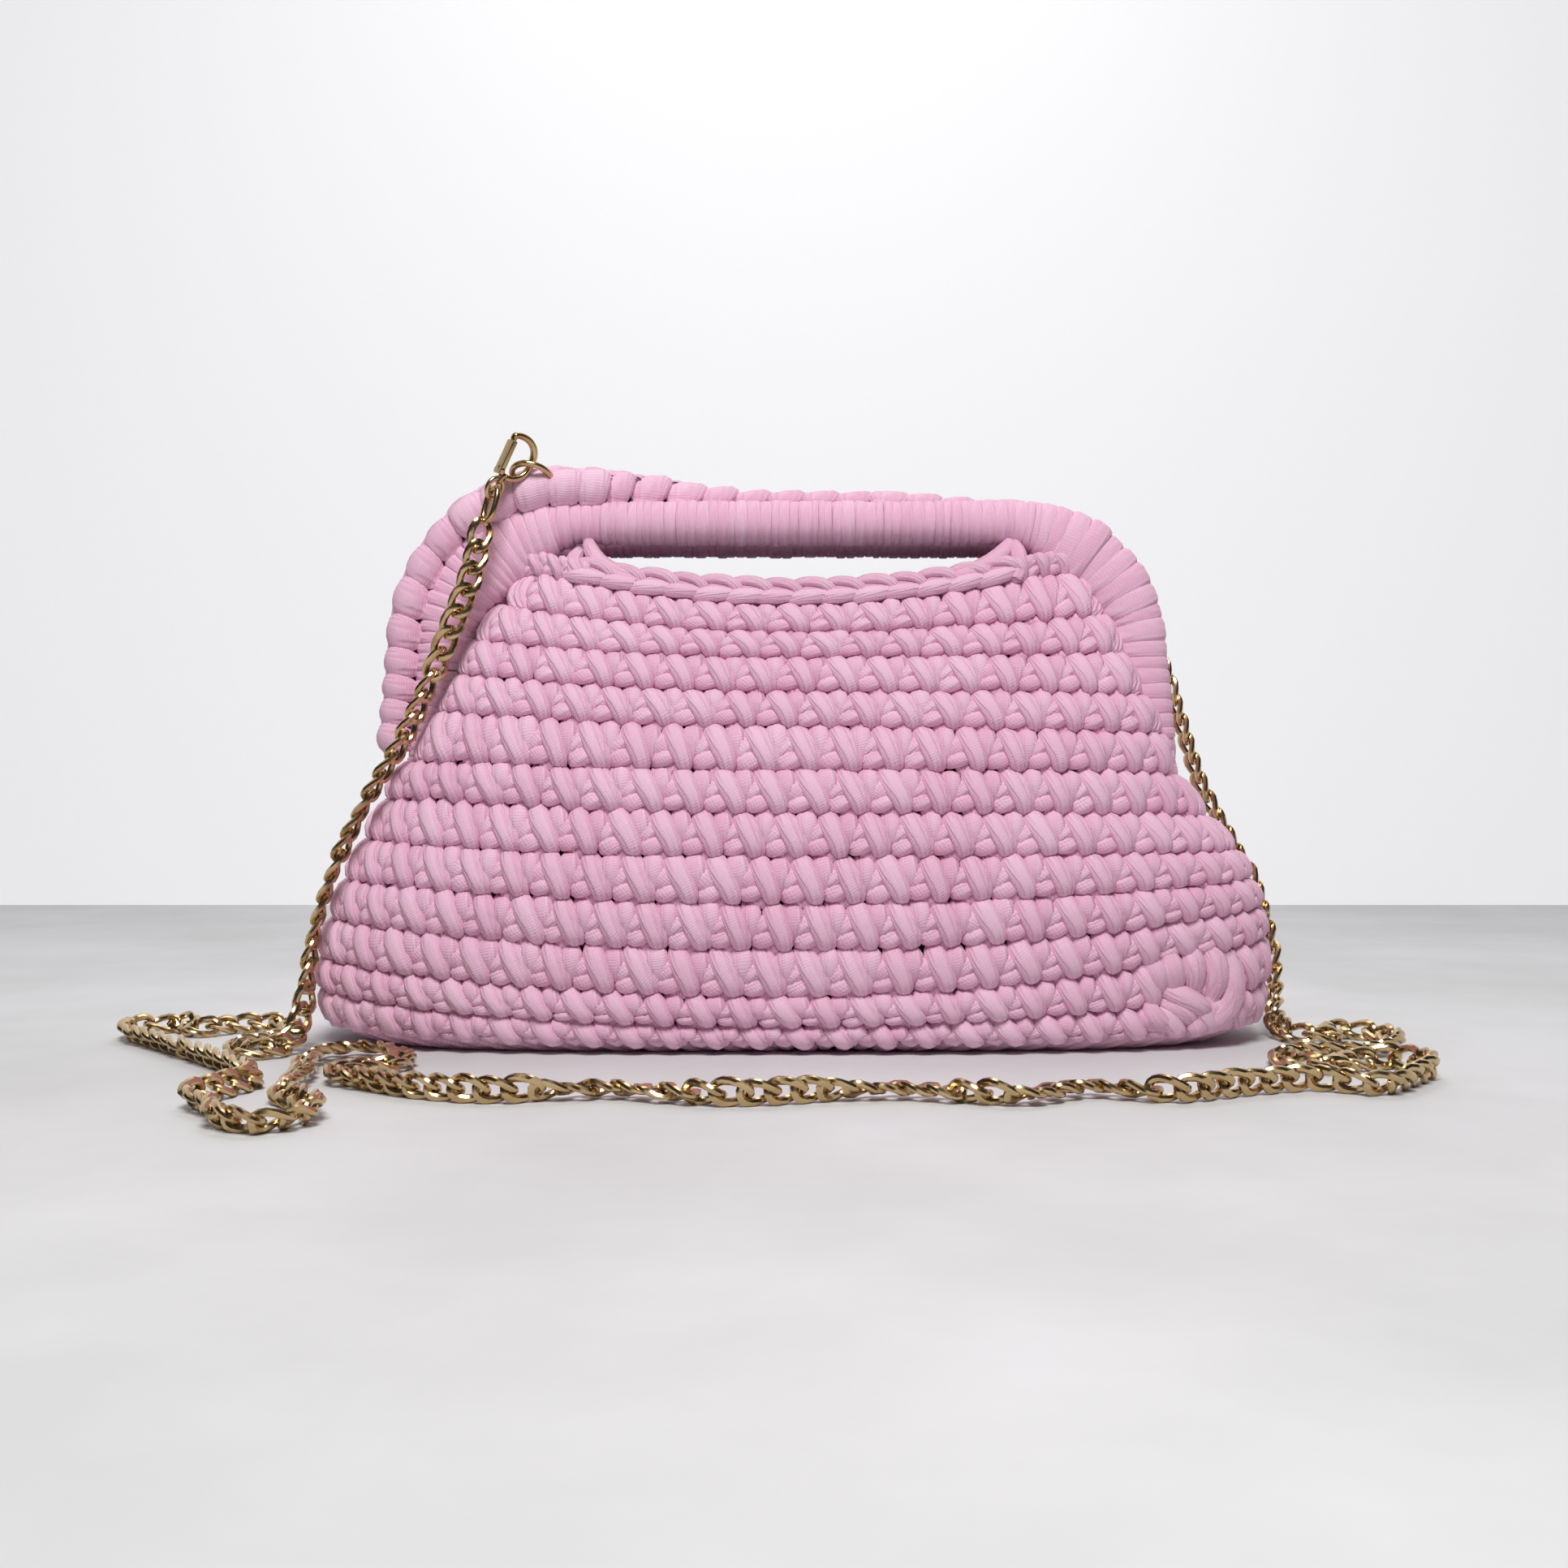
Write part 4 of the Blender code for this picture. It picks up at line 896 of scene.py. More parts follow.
def chart_rows():
    found = []
    for row in range(-BASE_ROWS, TOP_ROW):
        middle = row + 0.5
        for side, offset in enumerate((0.0, 0.5)):
            if row < RIM_ROW:
                low, high = np.interp((offset - 0.25, offset + 0.25), *row_arcs(middle, offset))
                found += row_stitches(middle, side, low, high, (ROW_SHIFT * row) % 1.0 - 0.5)
                continue
            low, high = panel_place(middle, side, PANEL_ENDS[row - RIM_ROW])
            found += row_stitches(middle, side, low, high)
            found.append((side, low + 0.2, middle, PITCH_MM, 1.0, LEFT_END))
            found.append((side, high - 0.2, middle, PITCH_MM, 1.0, RIGHT_END))
    # Small knots fill the corners between the braid's ends, the first row and the frame
    for side in (0, 1):
        for x in (-88.0, -81.0, -74.0, -67.0, 74.0, 81.0, 88.0, 95.0):
            place = panel_place(TOP_ROW - 0.01, side, (x, x))[0]
            found.append((side, place, TOP_ROW + 0.32, 8.2, 0.80, -1))
    found = np.array(found)
    swirl = (panel_place(SWIRL_ROW, 0, (SWIRL_X, SWIRL_X))[0], SWIRL_ROW)
    away = np.hypot(found[:, 1] - swirl[0], (found[:, 2] - swirl[1]) * CHART_ROW / MM)
    found = found[(found[:, 0] == 1) | (away > SWIRL_ROOM)]
    return np.vstack([found, (0, *swirl, STITCH_WIDTH / MM / STITCH_OVERLAP, 1.0, SWIRLED)])


chart = chart_rows()
print("stitches:", len(chart), "in", TOP_ROW + BASE_ROWS, "rows")

# %% Wrap the stitches onto the bag
origin, one = np.array(chart_uv(0.0, 0.0)), np.array(chart_uv(1.0, 1.0))
UV_ORIGIN, UV_SCALE = (*origin, 0.0), (*(one - origin), 0.0)


def pouch_piece(name, side, low_row, high_row, seed):
    rows = chart[(chart[:, 0] == side) & (chart[:, 2] > low_row) & (chart[:, 2] < high_row)]
    place = np.stack([rows[:, 1] * MM, rows[:, 2] * CHART_ROW, np.zeros(len(rows))], 1)
    size = np.stack([rows[:, 3] * MM / STITCH_WIDTH * STITCH_OVERLAP, rows[:, 4], 0.5 + 0.5 * rows[:, 4]], 1)
    own = np.random.default_rng(seed)
    kind = np.where(rows[:, 5] < 0, own.choice(4, len(rows), p=VERSION_SHARES), rows[:, 5])
    points = {"place": place, "size": size, "kind": kind}
    spreads = {"Lean": 0.0, "Lean spread": 0.07, "Size spread": 0.04}
    chart_values = {"Surface": surfaces[side], "UV origin": UV_ORIGIN, "UV scale": UV_SCALE}
    return run_tree(name, WRAPPING, points, stitches, YARN, Seed=seed, **spreads, **chart_values)


pouch_pieces = [
    pouch_piece("pouch_front_stitches", 0, 0, RIM_ROW, 3),
    pouch_piece("front_panel_stitches", 0, RIM_ROW, TOP_ROW + 1, 4),
    pouch_piece("pouch_rear_stitches", 1, 0, RIM_ROW, 5),
    pouch_piece("rear_panel_stitches", 1, RIM_ROW, TOP_ROW + 1, 6),
    pouch_piece("base_front_stitches", 0, -BASE_ROWS, 0, 7),
    pouch_piece("base_rear_stitches", 1, -BASE_ROWS, 0, 8),
]

# %% [markdown]
# ## Lining
# Between the strands the eye looks into the back of the stitches, which lie in deep shade. A wall a
# few millimetres behind the crest stands for them, painted a dark pink for that shade. It closes the
# pouch, it is thick, and the mouth shows its inner side.

# %% Build the lining
LINING_DEPTH = 8.4 * MM
LINING_WALL = 1.6 * MM
PANEL_COLUMNS = 81


def lining_mesh():
    shares = np.linspace(-0.5, 0.5, 161)[:-1]
    points, faces = [], []
    rows = [*np.linspace(-BASE_ROWS - 0.3, RIM_ROW - 0.15, 44)]
    for row in rows:
        place = pouch_place(shares, np.full(len(shares), row))
        facing = pouch_outward(shares, np.full(len(shares), row))
        points.append(place - facing * LINING_DEPTH)
    inner = [p - pouch_outward(shares, np.full(len(shares), r)) * LINING_WALL for p, r in zip(points, rows)]
    loops = points + inner[::-1]
    count = len(shares)
    for low in range(len(loops) - 1):
        for k in range(count):
            m = (k + 1) % count
            faces.append((low * count + k, low * count + m, (low + 1) * count + m, (low + 1) * count + k))
    faces.append(tuple(range(count))[::-1])
    last = (len(loops) - 1) * count
    faces.append(tuple(last + k for k in range(count)))
    mesh = bpy.data.meshes.new("pouch_lining")
    mesh.from_pydata(np.vstack(loops).tolist(), [], faces)
    mesh.shade_smooth()
    mesh.materials.append(LINING)
    return mesh


def panel_lining_mesh(name, side):
    """The same wall behind one panel, up to the braid; it ends at the frame's legs."""
    offset = 0.0 if side < 0 else 0.5
    rows = np.linspace(RIM_ROW - 0.3, TOP_ROW - 0.12, 24)
    outer, inner = [], []
    for row in rows:
        ends = smooth_read(np.arange(len(PANEL_ENDS)) + RIM_ROW + 0.5, np.array(PANEL_ENDS), row)
        shares = offset + np.linspace(-0.27, 0.27, 541)
        x = pouch_place(shares, np.full(len(shares), row))[:, 0] / MM
        order = np.argsort(x)
        wanted = np.linspace(ends[0] + 4.0, ends[1] - 4.0, PANEL_COLUMNS)
        shares = np.interp(wanted, x[order], shares[order])
        place = pouch_place(shares, np.full(PANEL_COLUMNS, row))
        facing = pouch_outward(shares, np.full(PANEL_COLUMNS, row))
        outer.append(place - facing * LINING_DEPTH)
        inner.append(outer[-1] - facing * LINING_WALL)
    grid = np.array([outer, inner])
    count, wide = len(rows), PANEL_COLUMNS
    points = grid.reshape(-1, 3)
    layer = count * wide
    faces = []
    for r in range(count - 1):
        for c in range(wide - 1):
            a, b = r * wide + c, (r + 1) * wide + c
            faces.append((a, a + 1, b + 1, b))
            faces.append((layer + a, layer + b, layer + b + 1, layer + a + 1))
    border = [*range(wide)] + [r * wide + wide - 1 for r in range(1, count)]
    border += [(count - 1) * wide + c for c in range(wide - 2, -1, -1)]
    border += [r * wide for r in range(count - 2, 0, -1)]
    for one, two in zip(border, border[1:] + border[:1]):
        faces.append((two, one, layer + one, layer + two))
    mesh = bpy.data.meshes.new(name)
    mesh.from_pydata(points.tolist(), [], faces)
    mesh.shade_smooth()
    mesh.materials.append(LINING)
    return mesh


def lining_material():
    """The wrong side of the stitches, with its deep shade painted in: a dark pink, painted darker between the
    backs of knots, which show as soft lumps.
    """
    material = bpy.data.materials.new("Wrong side of the crochet")
    material.use_nodes = True
    tree = material.node_tree
    shader = tree.nodes["Principled BSDF"]
    place = add(tree, "ShaderNodeTexCoord").outputs["Object"]
    knots = add(tree, "ShaderNodeTexVoronoi", {"Vector": place, "Scale": 1 / 0.009})
    fuzz = add(tree, "ShaderNodeTexNoise", {"Vector": place, "Scale": 900.0, "Detail": 3.0})
    height = maths(tree, "MULTIPLY_ADD", fuzz.outputs[0], 0.15, knots.outputs[0])
    bump = add(tree, "ShaderNodeBump", {"Height": height, "Strength": 0.8, "Distance": 0.0012}, invert=True)
    tones = {"Factor": knots.outputs[0], 6: linear("#8E4A6C"), 7: linear("#4A1E34")}
    colour = add(tree, "ShaderNodeMix", tones, data_type="RGBA")
    tree.links.new(colour.outputs[2], shader.inputs["Base Color"])
    tree.links.new(bump.outputs[0], shader.inputs["Normal"])
    shader.inputs["Roughness"].default_value = 0.95
    shader.inputs["Specular IOR Level"].default_value = 0.1
    return material


# A dark, rough pink makes the gaps between the strands read as deep shade and not as holes
LINING = lining_material()
lining = add_object("pouch_lining", lining_mesh())
panel_linings = [
    add_object("front_panel_lining", panel_lining_mesh("front_panel_lining", -1)),
    add_object("rear_panel_lining", panel_lining_mesh("rear_panel_lining", 1)),
]
print("lining:", len(lining.data.polygons), "faces")

# %% [markdown]
# ## Arch frames
# Each frame is a bar bent down at both ends. The yarn is wound round it tightly. On the bar the
# wraps stand close together, some wide and some pulled narrow, and they lean a little. Round the
# corners they fan out, and on the legs they lie nearly level. One wrap is a flat ring, and the first
# tree copies it along the frame's middle line.

# %% The frame's middle line
SPAN, SHIFT, BAR_HEIGHT, CORNER = 222.0, 2.6, 166.0, 41.0
OFFSET, BAR_THICK, ARCH_THICK, FRAME_DEPTH = 15.0, 14.3, 18.5, 14.4
LEG_END, LEG_SPLAY = 80.0, 4.0


def arch(steps=900):
    """Rows of (x, z, outward x, outward z, thickness, length so far) in mm, left foot to right foot."""
    half, leg_top, bar_half = SPAN / 2, BAR_HEIGHT - CORNER, SPAN / 2 - CORNER
    corner = [math.radians(a) for a in range(0, 91, 3)]
    splay = math.atan2(LEG_SPLAY, leg_top - LEG_END)
    rows = [(-half - LEG_SPLAY, LEG_END, -math.cos(splay), math.sin(splay), ARCH_THICK)]
    for a in corner:
        thin = max(0.0, (a / math.radians(90.0) - 0.6) / 0.4)
        thick = ARCH_THICK + (BAR_THICK - ARCH_THICK) * thin
        x, z = -bar_half - CORNER * math.cos(a), leg_top + CORNER * math.sin(a)
        rows.append((x, z, -math.cos(a), math.sin(a), thick))
    rows += [(-x, z, -ox, oz, t) for x, z, ox, oz, t in reversed(rows)]
    rows = np.array(rows)
    length = np.concatenate([[0.0], np.cumsum(np.hypot(np.diff(rows[:, 0]), np.diff(rows[:, 1])))])
    even = np.linspace(0.0, length[-1], steps)
    line = np.stack([np.interp(even, length, rows[:, k]) for k in range(5)], 1)
    line[:, 0] += SHIFT
    return np.column_stack([line, even])


ARCH = arch()
ARCH_LENGTH = ARCH[-1, 5]
LEG_LENGTH = math.hypot(BAR_HEIGHT - CORNER - LEG_END, LEG_SPLAY)
CORNER_LENGTH = CORNER * math.pi / 2
print(f"frame length {ARCH_LENGTH:.1f} mm")


def arch_at(length):
    """Places and directions in the frame's plane at lengths along it: place, outward, along, thickness."""
    x, z, ox, oz, thick = (np.interp(length, ARCH[:, 5], ARCH[:, k]) for k in range(5))
    outward = np.stack([ox, np.zeros_like(ox), oz], -1)
    outward /= np.linalg.norm(outward, axis=-1)[..., None]
    along = np.stack([outward[..., 2], np.zeros_like(x), -outward[..., 0]], -1)
    return np.stack([x, np.zeros_like(x), z], -1), outward, along, thick


# %% Wind the frames
WRAP_THICK = 1.25
# Widths of the wraps in mm, least and most, on the left half and on the right one. The left leg was wound
# evenly, while the right corner took wide and hasty turns
BAR_WRAPS = ((2.1, 4.4), (2.1, 4.4))
LEG_WRAPS = ((2.3, 3.2), (3.4, 5.0))
CORNER_WRAPS = ((3.0, 4.6), (4.0, 6.2))


def wrap_mesh(name, sides, wide, bulge):
    """One wrap round a bar that runs along X; Z is outwards. It is a little fuller in front and behind."""
    angle = math.tau * np.arange(sides) / sides
    reach = FRAME_DEPTH / 2 - WRAP_THICK
    path = np.stack([np.zeros(sides), reach * np.sin(angle), reach * np.cos(angle)], 1) * MM
    outward = np.stack([np.zeros(sides), np.sin(angle), np.cos(angle)], 1)
    swell = 1.0 + bulge * np.cos(2 * angle + 0.4)
    ring = sweep(path, outward, wide * MM * swell, WRAP_THICK * MM, 8, closed=True, square=3.0)
    return mesh_of(name, [ring])


wraps = template_collection("wrap", [wrap_mesh("wrap_a", 22, 1.0, 0.05), wrap_mesh("wrap_b", 22, 1.0, -0.10)])


def winding(name, side, seed):
    own = np.random.default_rng(seed)
    at, widths = [], []
    here = 1.5
    while here < ARCH_LENGTH - 1.5:
        on_leg = here < LEG_LENGTH or here > ARCH_LENGTH - LEG_LENGTH
        on_bar = LEG_LENGTH + CORNER_LENGTH * 0.85 < here < ARCH_LENGTH - LEG_LENGTH - CORNER_LENGTH * 0.85
        limits = BAR_WRAPS if on_bar else LEG_WRAPS if on_leg else CORNER_WRAPS
        width = own.uniform(*limits[int(here > ARCH_LENGTH / 2)])
        at.append(here + width / 2)
        widths.append(width)
        here += width
    at, widths = np.array(at), np.array(widths)
    place, outward, along, thick = arch_at(at)
    # Round the inside of each corner the strand was laid thicker, down to the first row
    extra = 12.0 * np.abs(outward[:, 0]) * outward[:, 2] ** 2
    place -= outward * extra[:, None] / 2
    thick = thick + extra
    place[:, 1] = side * OFFSET
    spare = np.where((at > LEG_LENGTH) & (at < ARCH_LENGTH - LEG_LENGTH), 0.62, 0.60)
    # Where the frame bends, the outer side of a wrap has more way to cover than its middle
    bent = (np.abs(outward[:, 0]) > 0.03) & (np.abs(outward[:, 0]) < 0.985)
    spare = np.where(bent, 0.67, spare)
    swell = np.where(bent, own.uniform(0.96, 1.07, len(at)), own.uniform(0.97, 1.05, len(at)))
    size = np.stack([widths * spare, swell, thick / FRAME_DEPTH * swell], 1)
    lean = own.normal(0.0, 1.0, len(at)) * np.where(bent, 0.09, 0.035) + 0.05
    leaning = along * np.cos(lean)[:, None] + outward * np.sin(lean)[:, None]
    across = np.cross(outward, along)
    twist = own.normal(0.0, 0.03, len(at))
    leaning = leaning * np.cos(twist)[:, None] + across * np.sin(twist)[:, None]
    kind = own.integers(0, 2, len(at))
    points = {"place": place * MM, "along": leaning, "outward": outward, "size": size, "kind": kind}
    spreads = {"Lean": 0.0, "Lean spread": 0.0, "Size spread": 0.0}
    return run_tree(name, PLACING, points, wraps, WOUND_YARN, Seed=seed, **spreads)


front_winding = winding("front_winding", -1, 21)
rear_winding = winding("rear_winding", 1, 22)

# %% [markdown]
# ## Edging
# The winding is closed by a row of crochet along the outer edge of each frame. Its heads look like a
# plait of fat bricks, and a thin strand ties each one to the next. On the left leg they face the
# camera, over the bar they lie behind it, and the tables give the turn about the frame: 0 degrees
# points outwards, and 90 to the back.

# %% Crochet the edging
FRONT_TURN = (
    (0.0, 0.0), (0.19, 0.0), (0.28, -14.0), (0.32, -6.0), (0.36, 20.0), (0.40, 42.0), (0.46, 56.0),
    (0.60, 60.0), (0.72, 84.0), (0.86, 84.0), (1.0, 72.0),
)
REAR_TURN = ((0.0, 28.0), (0.17, 30.0), (0.34, 50.0), (0.66, 50.0), (0.83, 30.0), (1.0, 28.0))
EDGING_THICK = 9.4
HEAD_PITCH = 8.3
# outwards and aside in mm, half width along the frame, half thickness
HEAD = (
    (-5.2, -2.0, 3.0, 1.6),
    (-3.0, -3.5, 4.3, 2.4),
    (0.2, -3.5, 4.8, 3.0),
    (2.6, -2.5, 4.7, 2.8),
    (3.6, -0.6, 3.8, 2.2),
    (2.8, 1.0, 2.4, 1.3),
)
# along in shares of a head, aside and outwards in mm, half width
TIE = (
    (-0.62, 2.2, 2.4, 0.9),
    (-0.34, 1.2, 4.6, 1.5),
    (0.0, 0.0, 5.3, 1.7),
    (0.34, -1.2, 4.6, 1.5),
    (0.62, -2.2, 2.4, 0.9),
)


def head_strand(sign, shift, steps=9, sides=10):
    rows = finer(HEAD, steps)
    slant = 0.9 * (rows[:, 0] + 1.0) / 5.0
    path = np.stack([shift * HEAD_PITCH + slant, sign * rows[:, 1], rows[:, 0]], 1) * MM
    facing = np.stack([np.zeros(steps), sign * rows[:, 1], rows[:, 0] + 2.0], 1)
    return sweep(path, facing, rows[:, 2] * MM, rows[:, 3] * MM, sides, square=3.0)


def tie_strand():
    """A thin strand that runs over the heads from one to the next."""
    rows = finer(TIE, 8)
    path = np.stack([rows[:, 0] * HEAD_PITCH, rows[:, 1], rows[:, 2]], 1) * MM
    return sweep(path, (0.0, 0.0, 1.0), rows[:, 3] * MM, 0.75 * rows[:, 3] * MM, 8)


head_strands = [head_strand(1, 0.0), head_strand(-1, 0.45), tie_strand()]
heads = template_collection("head", [mesh_of("head", head_strands)])


def edging(name, side, turns, seed):
    start, stop = 12.0, ARCH_LENGTH - 12.0
    # Heads are longer over the bar, where the strand was pulled along less closely
    middle = ARCH_LENGTH / 2
    at, wide = [start + HEAD_PITCH / 2], [HEAD_PITCH]
    while at[-1] < stop:
        wide.append(HEAD_PITCH if abs(at[-1] - middle) > 58.0 else 11.0)
        at.append(at[-1] + (wide[-1] + wide[-2]) / 2)
    at, wide = np.array(at), np.array(wide)
    place, outward, along, thick = arch_at(at)
    turn = np.radians(np.interp(at / ARCH_LENGTH, *zip(*turns)))
    back = np.array([0.0, 1.0, 0.0])
    towards = outward * np.cos(turn)[:, None] + back * np.sin(turn)[:, None]
    reach = 1.0 / np.hypot(np.cos(turn) / (thick / 2), np.sin(turn) / (FRAME_DEPTH / 2))
    place = place + towards * (reach + EDGING_THICK / 2 - 0.6)[:, None]
    place[:, 1] += side * OFFSET
    # Round the corners the heads lie on a wider bend than the frame's middle line
    reached = np.linalg.norm(np.gradient(place, axis=0), axis=1) / np.gradient(at)
    flat = np.interp(np.abs(turn), (0.6, 1.2), (1.0, 0.62))
    size = np.stack([1.03 * reached * wide / HEAD_PITCH, np.ones(len(at)), flat], 1)
    points = {"place": place * MM, "along": along, "outward": towards, "size": size}
    spreads = {"Lean": 0.0, "Lean spread": 0.10, "Size spread": 0.05}
    return run_tree(name, PLACING, points, heads, YARN, Seed=seed, **spreads)


front_heads = edging("front_edging_heads", -1, FRONT_TURN, 31)
rear_heads = edging("rear_edging_heads", 1, REAR_TURN, 32)

# %% [markdown]
# ## Rim braid
# The last row of each panel ends in a chain of loops along the rim. Each loop shows a long leaf in
# front and two thinner strands that arch over it from behind. The chain sags between the ends of the
# bar.

# %% Braid the rims
RIM_DIP, RIM_HALF, RIM_END = 140.5, 70.0, 148.3
# The braid's middle lies so far above the rim and inside the wall, in mm
BRAID_LIFT, BRAID_INSET = 2.7, 1.6
LINK_MM = 10.6
# along in shares of a link, up, depth, half width, half thickness in mm
BRAID_LOW = (
    (-0.18, -3.0, -3.2, 1.0, 1.2),
    (-0.04, -2.8, -1.5, 1.8, 1.8),
    (0.20, -2.4, -0.3, 2.5, 2.2),
    (0.50, -2.1, 0.1, 2.6, 2.3),
    (0.80, -1.8, -0.3, 2.4, 2.2),
    (1.04, -1.4, -1.5, 1.7, 1.7),
    (1.16, -1.1, -3.2, 1.0, 1.2),
)
BRAID_HIGH = (
    (-0.04, 1.2, -3.4, 0.9, 1.1),
    (0.14, 2.4, -2.0, 1.4, 1.6),
    (0.42, 2.9, -1.1, 1.6, 1.8),
    (0.74, 2.6, -0.6, 1.7, 1.9),
    (1.00, 1.6, -0.3, 1.8, 1.9),
    (1.20, -0.1, -0.9, 1.7, 1.7),
    (1.30, -1.6, -3.0, 1.0, 1.2),
)
BRAID_MID = (
    (0.16, -0.2, -3.4, 0.7, 1.0),
    (0.36, 0.7, -1.9, 1.0, 1.4),
    (0.66, 0.7, -1.5, 1.1, 1.5),
    (0.94, 0.0, -1.7, 1.0, 1.4),
    (1.14, -1.0, -3.2, 0.7, 1.0),
)


def braid_strand(table, steps, sides=8):
    rows = finer(table, steps)
    path = np.stack([(rows[:, 0] - 0.5) * LINK_MM, rows[:, 1], rows[:, 2]], 1) * MM
    return sweep(path, (0.0, 0.15, 1.0), rows[:, 3] * MM, rows[:, 4] * MM, sides)


loop_strands = [braid_strand(BRAID_LOW, 10), braid_strand(BRAID_HIGH, 11), braid_strand(BRAID_MID, 7, 7)]
loops = template_collection("loop", [mesh_of("loop", loop_strands)])


def rim_seat(x):
    return RIM_DIP + (RIM_END - RIM_DIP) * ((x - SHIFT) / RIM_HALF) ** 2


def rim_braid(name, side, seed):
    count = 14
    x = SHIFT + (RIM_HALF - 1.0) * (2 * (np.arange(count) + 0.5) / count - 1)
    height = rim_seat(x) + BRAID_LIFT
    depth = smooth_read(SECTIONS[:, 0], SECTIONS[:, 3], height)
    slope = (rim_seat(x + 1) - rim_seat(x - 1)) / 2
    along = np.stack([np.ones(count), np.zeros(count), slope], 1) * -side
    outward = np.tile([0.0, side, 0.18], (count, 1))
    place = np.stack([x, side * (depth - BRAID_INSET), height], 1)
    points = {"place": place * MM, "along": along, "outward": outward, "size": (1.0, 1.0, 1.0)}
    spreads = {"Lean": 0.0, "Lean spread": 0.05, "Size spread": 0.04}
    return run_tree(name, PLACING, points, loops, YARN, Seed=seed, **spreads)


front_rim = rim_braid("front_rim_braid", -1, 41)
rear_rim = rim_braid("rear_rim_braid", 1, 42)

# Where the braid ends, its strands climb to the bar: across and up in mm, half width
RIM_ENDS = (
    ((-62.5, 160.5, 1.5), (-61.5, 157.0, 2.5), (-58.5, 152.5, 2.9), (-52.5, 148.8, 2.7), (-45.0, 146.4, 1.5)),
    ((-64.5, 157.0, 1.5), (-66.5, 153.5, 2.6), (-65.5, 149.0, 2.7), (-61.0, 145.5, 1.6)),
    ((72.5, 160.5, 1.5), (70.5, 157.0, 2.5), (65.5, 152.5, 2.9), (58.0, 148.8, 2.7), (50.0, 146.2, 1.5)),
    ((73.0, 160.0, 1.5), (74.3, 156.0, 2.6), (74.6, 151.0, 2.7), (73.0, 146.6, 1.7)),
)


def rim_ends(name, side):
    strands = []
    for table in RIM_ENDS:
        rows = finer(table, 9)
        depth = smooth_read(SECTIONS[:, 0], SECTIONS[:, 3], rows[:, 1])
        front = side * np.minimum(depth - 0.8, 19.5 + (158.0 - rows[:, 1]) * 0.5)
        path = np.stack([rows[:, 0], front, rows[:, 1]], 1) * MM
        strands.append(sweep(path, (0.0, side, 0.2), rows[:, 2] * MM, 0.85 * rows[:, 2] * MM, 10))
    mesh = mesh_of(name, strands)
    mesh.materials.append(YARN)
    return add_object(name, mesh)


rim_end_pieces = [rim_ends("front_rim_ends", -1), rim_ends("rear_rim_ends", 1)]

# %% [markdown]
# ## Chain
# The strap is a curb chain. Every link is an oval of wire that is twisted, so that its two ends stand
# across each other and the next link can pass through, and pressed flat on both faces. One link is
# made that way and the first tree sets it along the route, which is the CAD chain's own. A second
# table turns the chain about its length: it shows its face in some places and its edge in others.

# %% Route of the chain
CHAIN_ROUTE = (
    (-97.0, -31.2, 149.0), (-103.0, -31.0, 133.0), (-109.5, -30.5, 117.0), (-118.5, -30.5, 97.0),
    (-130.0, -29.5, 78.0), (-138.5, -28.5, 61.5), (-145.0, -28.0, 44.0), (-148.0, -30.0, 28.0),
    (-148.5, -35.0, 14.0), (-150.0, -43.0, 5.0), (-155.0, -52.0, 3.2), (-163.0, -51.5, 3.1),
    (-167.0, -40.0, 3.1), (-161.0, -25.0, 3.1), (-160.0, -8.0, 3.1), (-169.0, 5.0, 3.1),
    (-181.0, 1.0, 3.1), (-190.0, -8.0, 3.1), (-200.0, 2.0, 3.1), (-211.0, -3.0, 3.1),
    (-210.0, -17.0, 3.1), (-199.0, -31.0, 3.1), (-185.0, -47.0, 3.1), (-169.0, -66.0, 3.1),
    (-154.0, -85.0, 3.1), (-144.0, -100.0, 3.1), (-147.0, -115.0, 3.1), (-150.0, -130.0, 3.1),
    (-140.0, -143.0, 3.1), (-134.0, -157.0, 3.1), (-123.0, -162.0, 3.1), (-115.0, -150.0, 3.1),
    (-120.0, -135.0, 3.1), (-129.0, -123.0, 3.1), (-132.0, -106.0, 3.1), (-134.0, -87.0, 3.1),
    (-138.0, -68.0, 3.1), (-134.0, -52.0, 3.1), (-123.0, -49.0, 3.1), (-113.0, -60.0, 3.1),
    (-111.0, -75.0, 3.1), (-120.0, -83.0, 3.1), (-123.0, -94.0, 3.1), (-112.0, -106.0, 3.1),
    (-95.0, -118.0, 3.1), (-74.0, -124.0, 3.1), (-46.0, -117.0, 3.1), (-14.0, -128.0, 3.1),
    (30.0, -118.0, 3.1), (59.0, -127.0, 3.1), (80.0, -115.0, 3.1), (101.0, -123.0, 3.1),
    (121.0, -114.0, 3.1), (142.0, -107.0, 3.1), (157.0, -113.0, 3.1), (171.0, -100.0, 3.1),
    (181.0, -84.0, 3.1), (177.0, -70.0, 3.1), (166.0, -72.0, 3.1), (155.0, -79.0, 3.1),
    (145.0, -70.0, 3.1), (149.0, -57.0, 3.1), (162.0, -54.0, 3.1), (176.0, -50.0, 3.1),
    (188.0, -36.0, 3.1), (190.0, -19.0, 3.1), (180.0, -11.0, 3.1), (171.0, -22.0, 3.1),
    (162.0, -20.0, 3.4), (160.0, -8.0, 5.5), (163.0, 4.0, 12.0), (164.5, 11.0, 22.0),
    (164.0, 16.0, 35.0), (160.0, 21.0, 50.0), (153.0, 25.0, 65.0), (145.5, 29.0, 80.0),
    (140.0, 32.0, 98.0), (135.0, 34.0, 116.0), (128.0, 35.0, 133.0), (117.0, 34.5, 148.0),
)
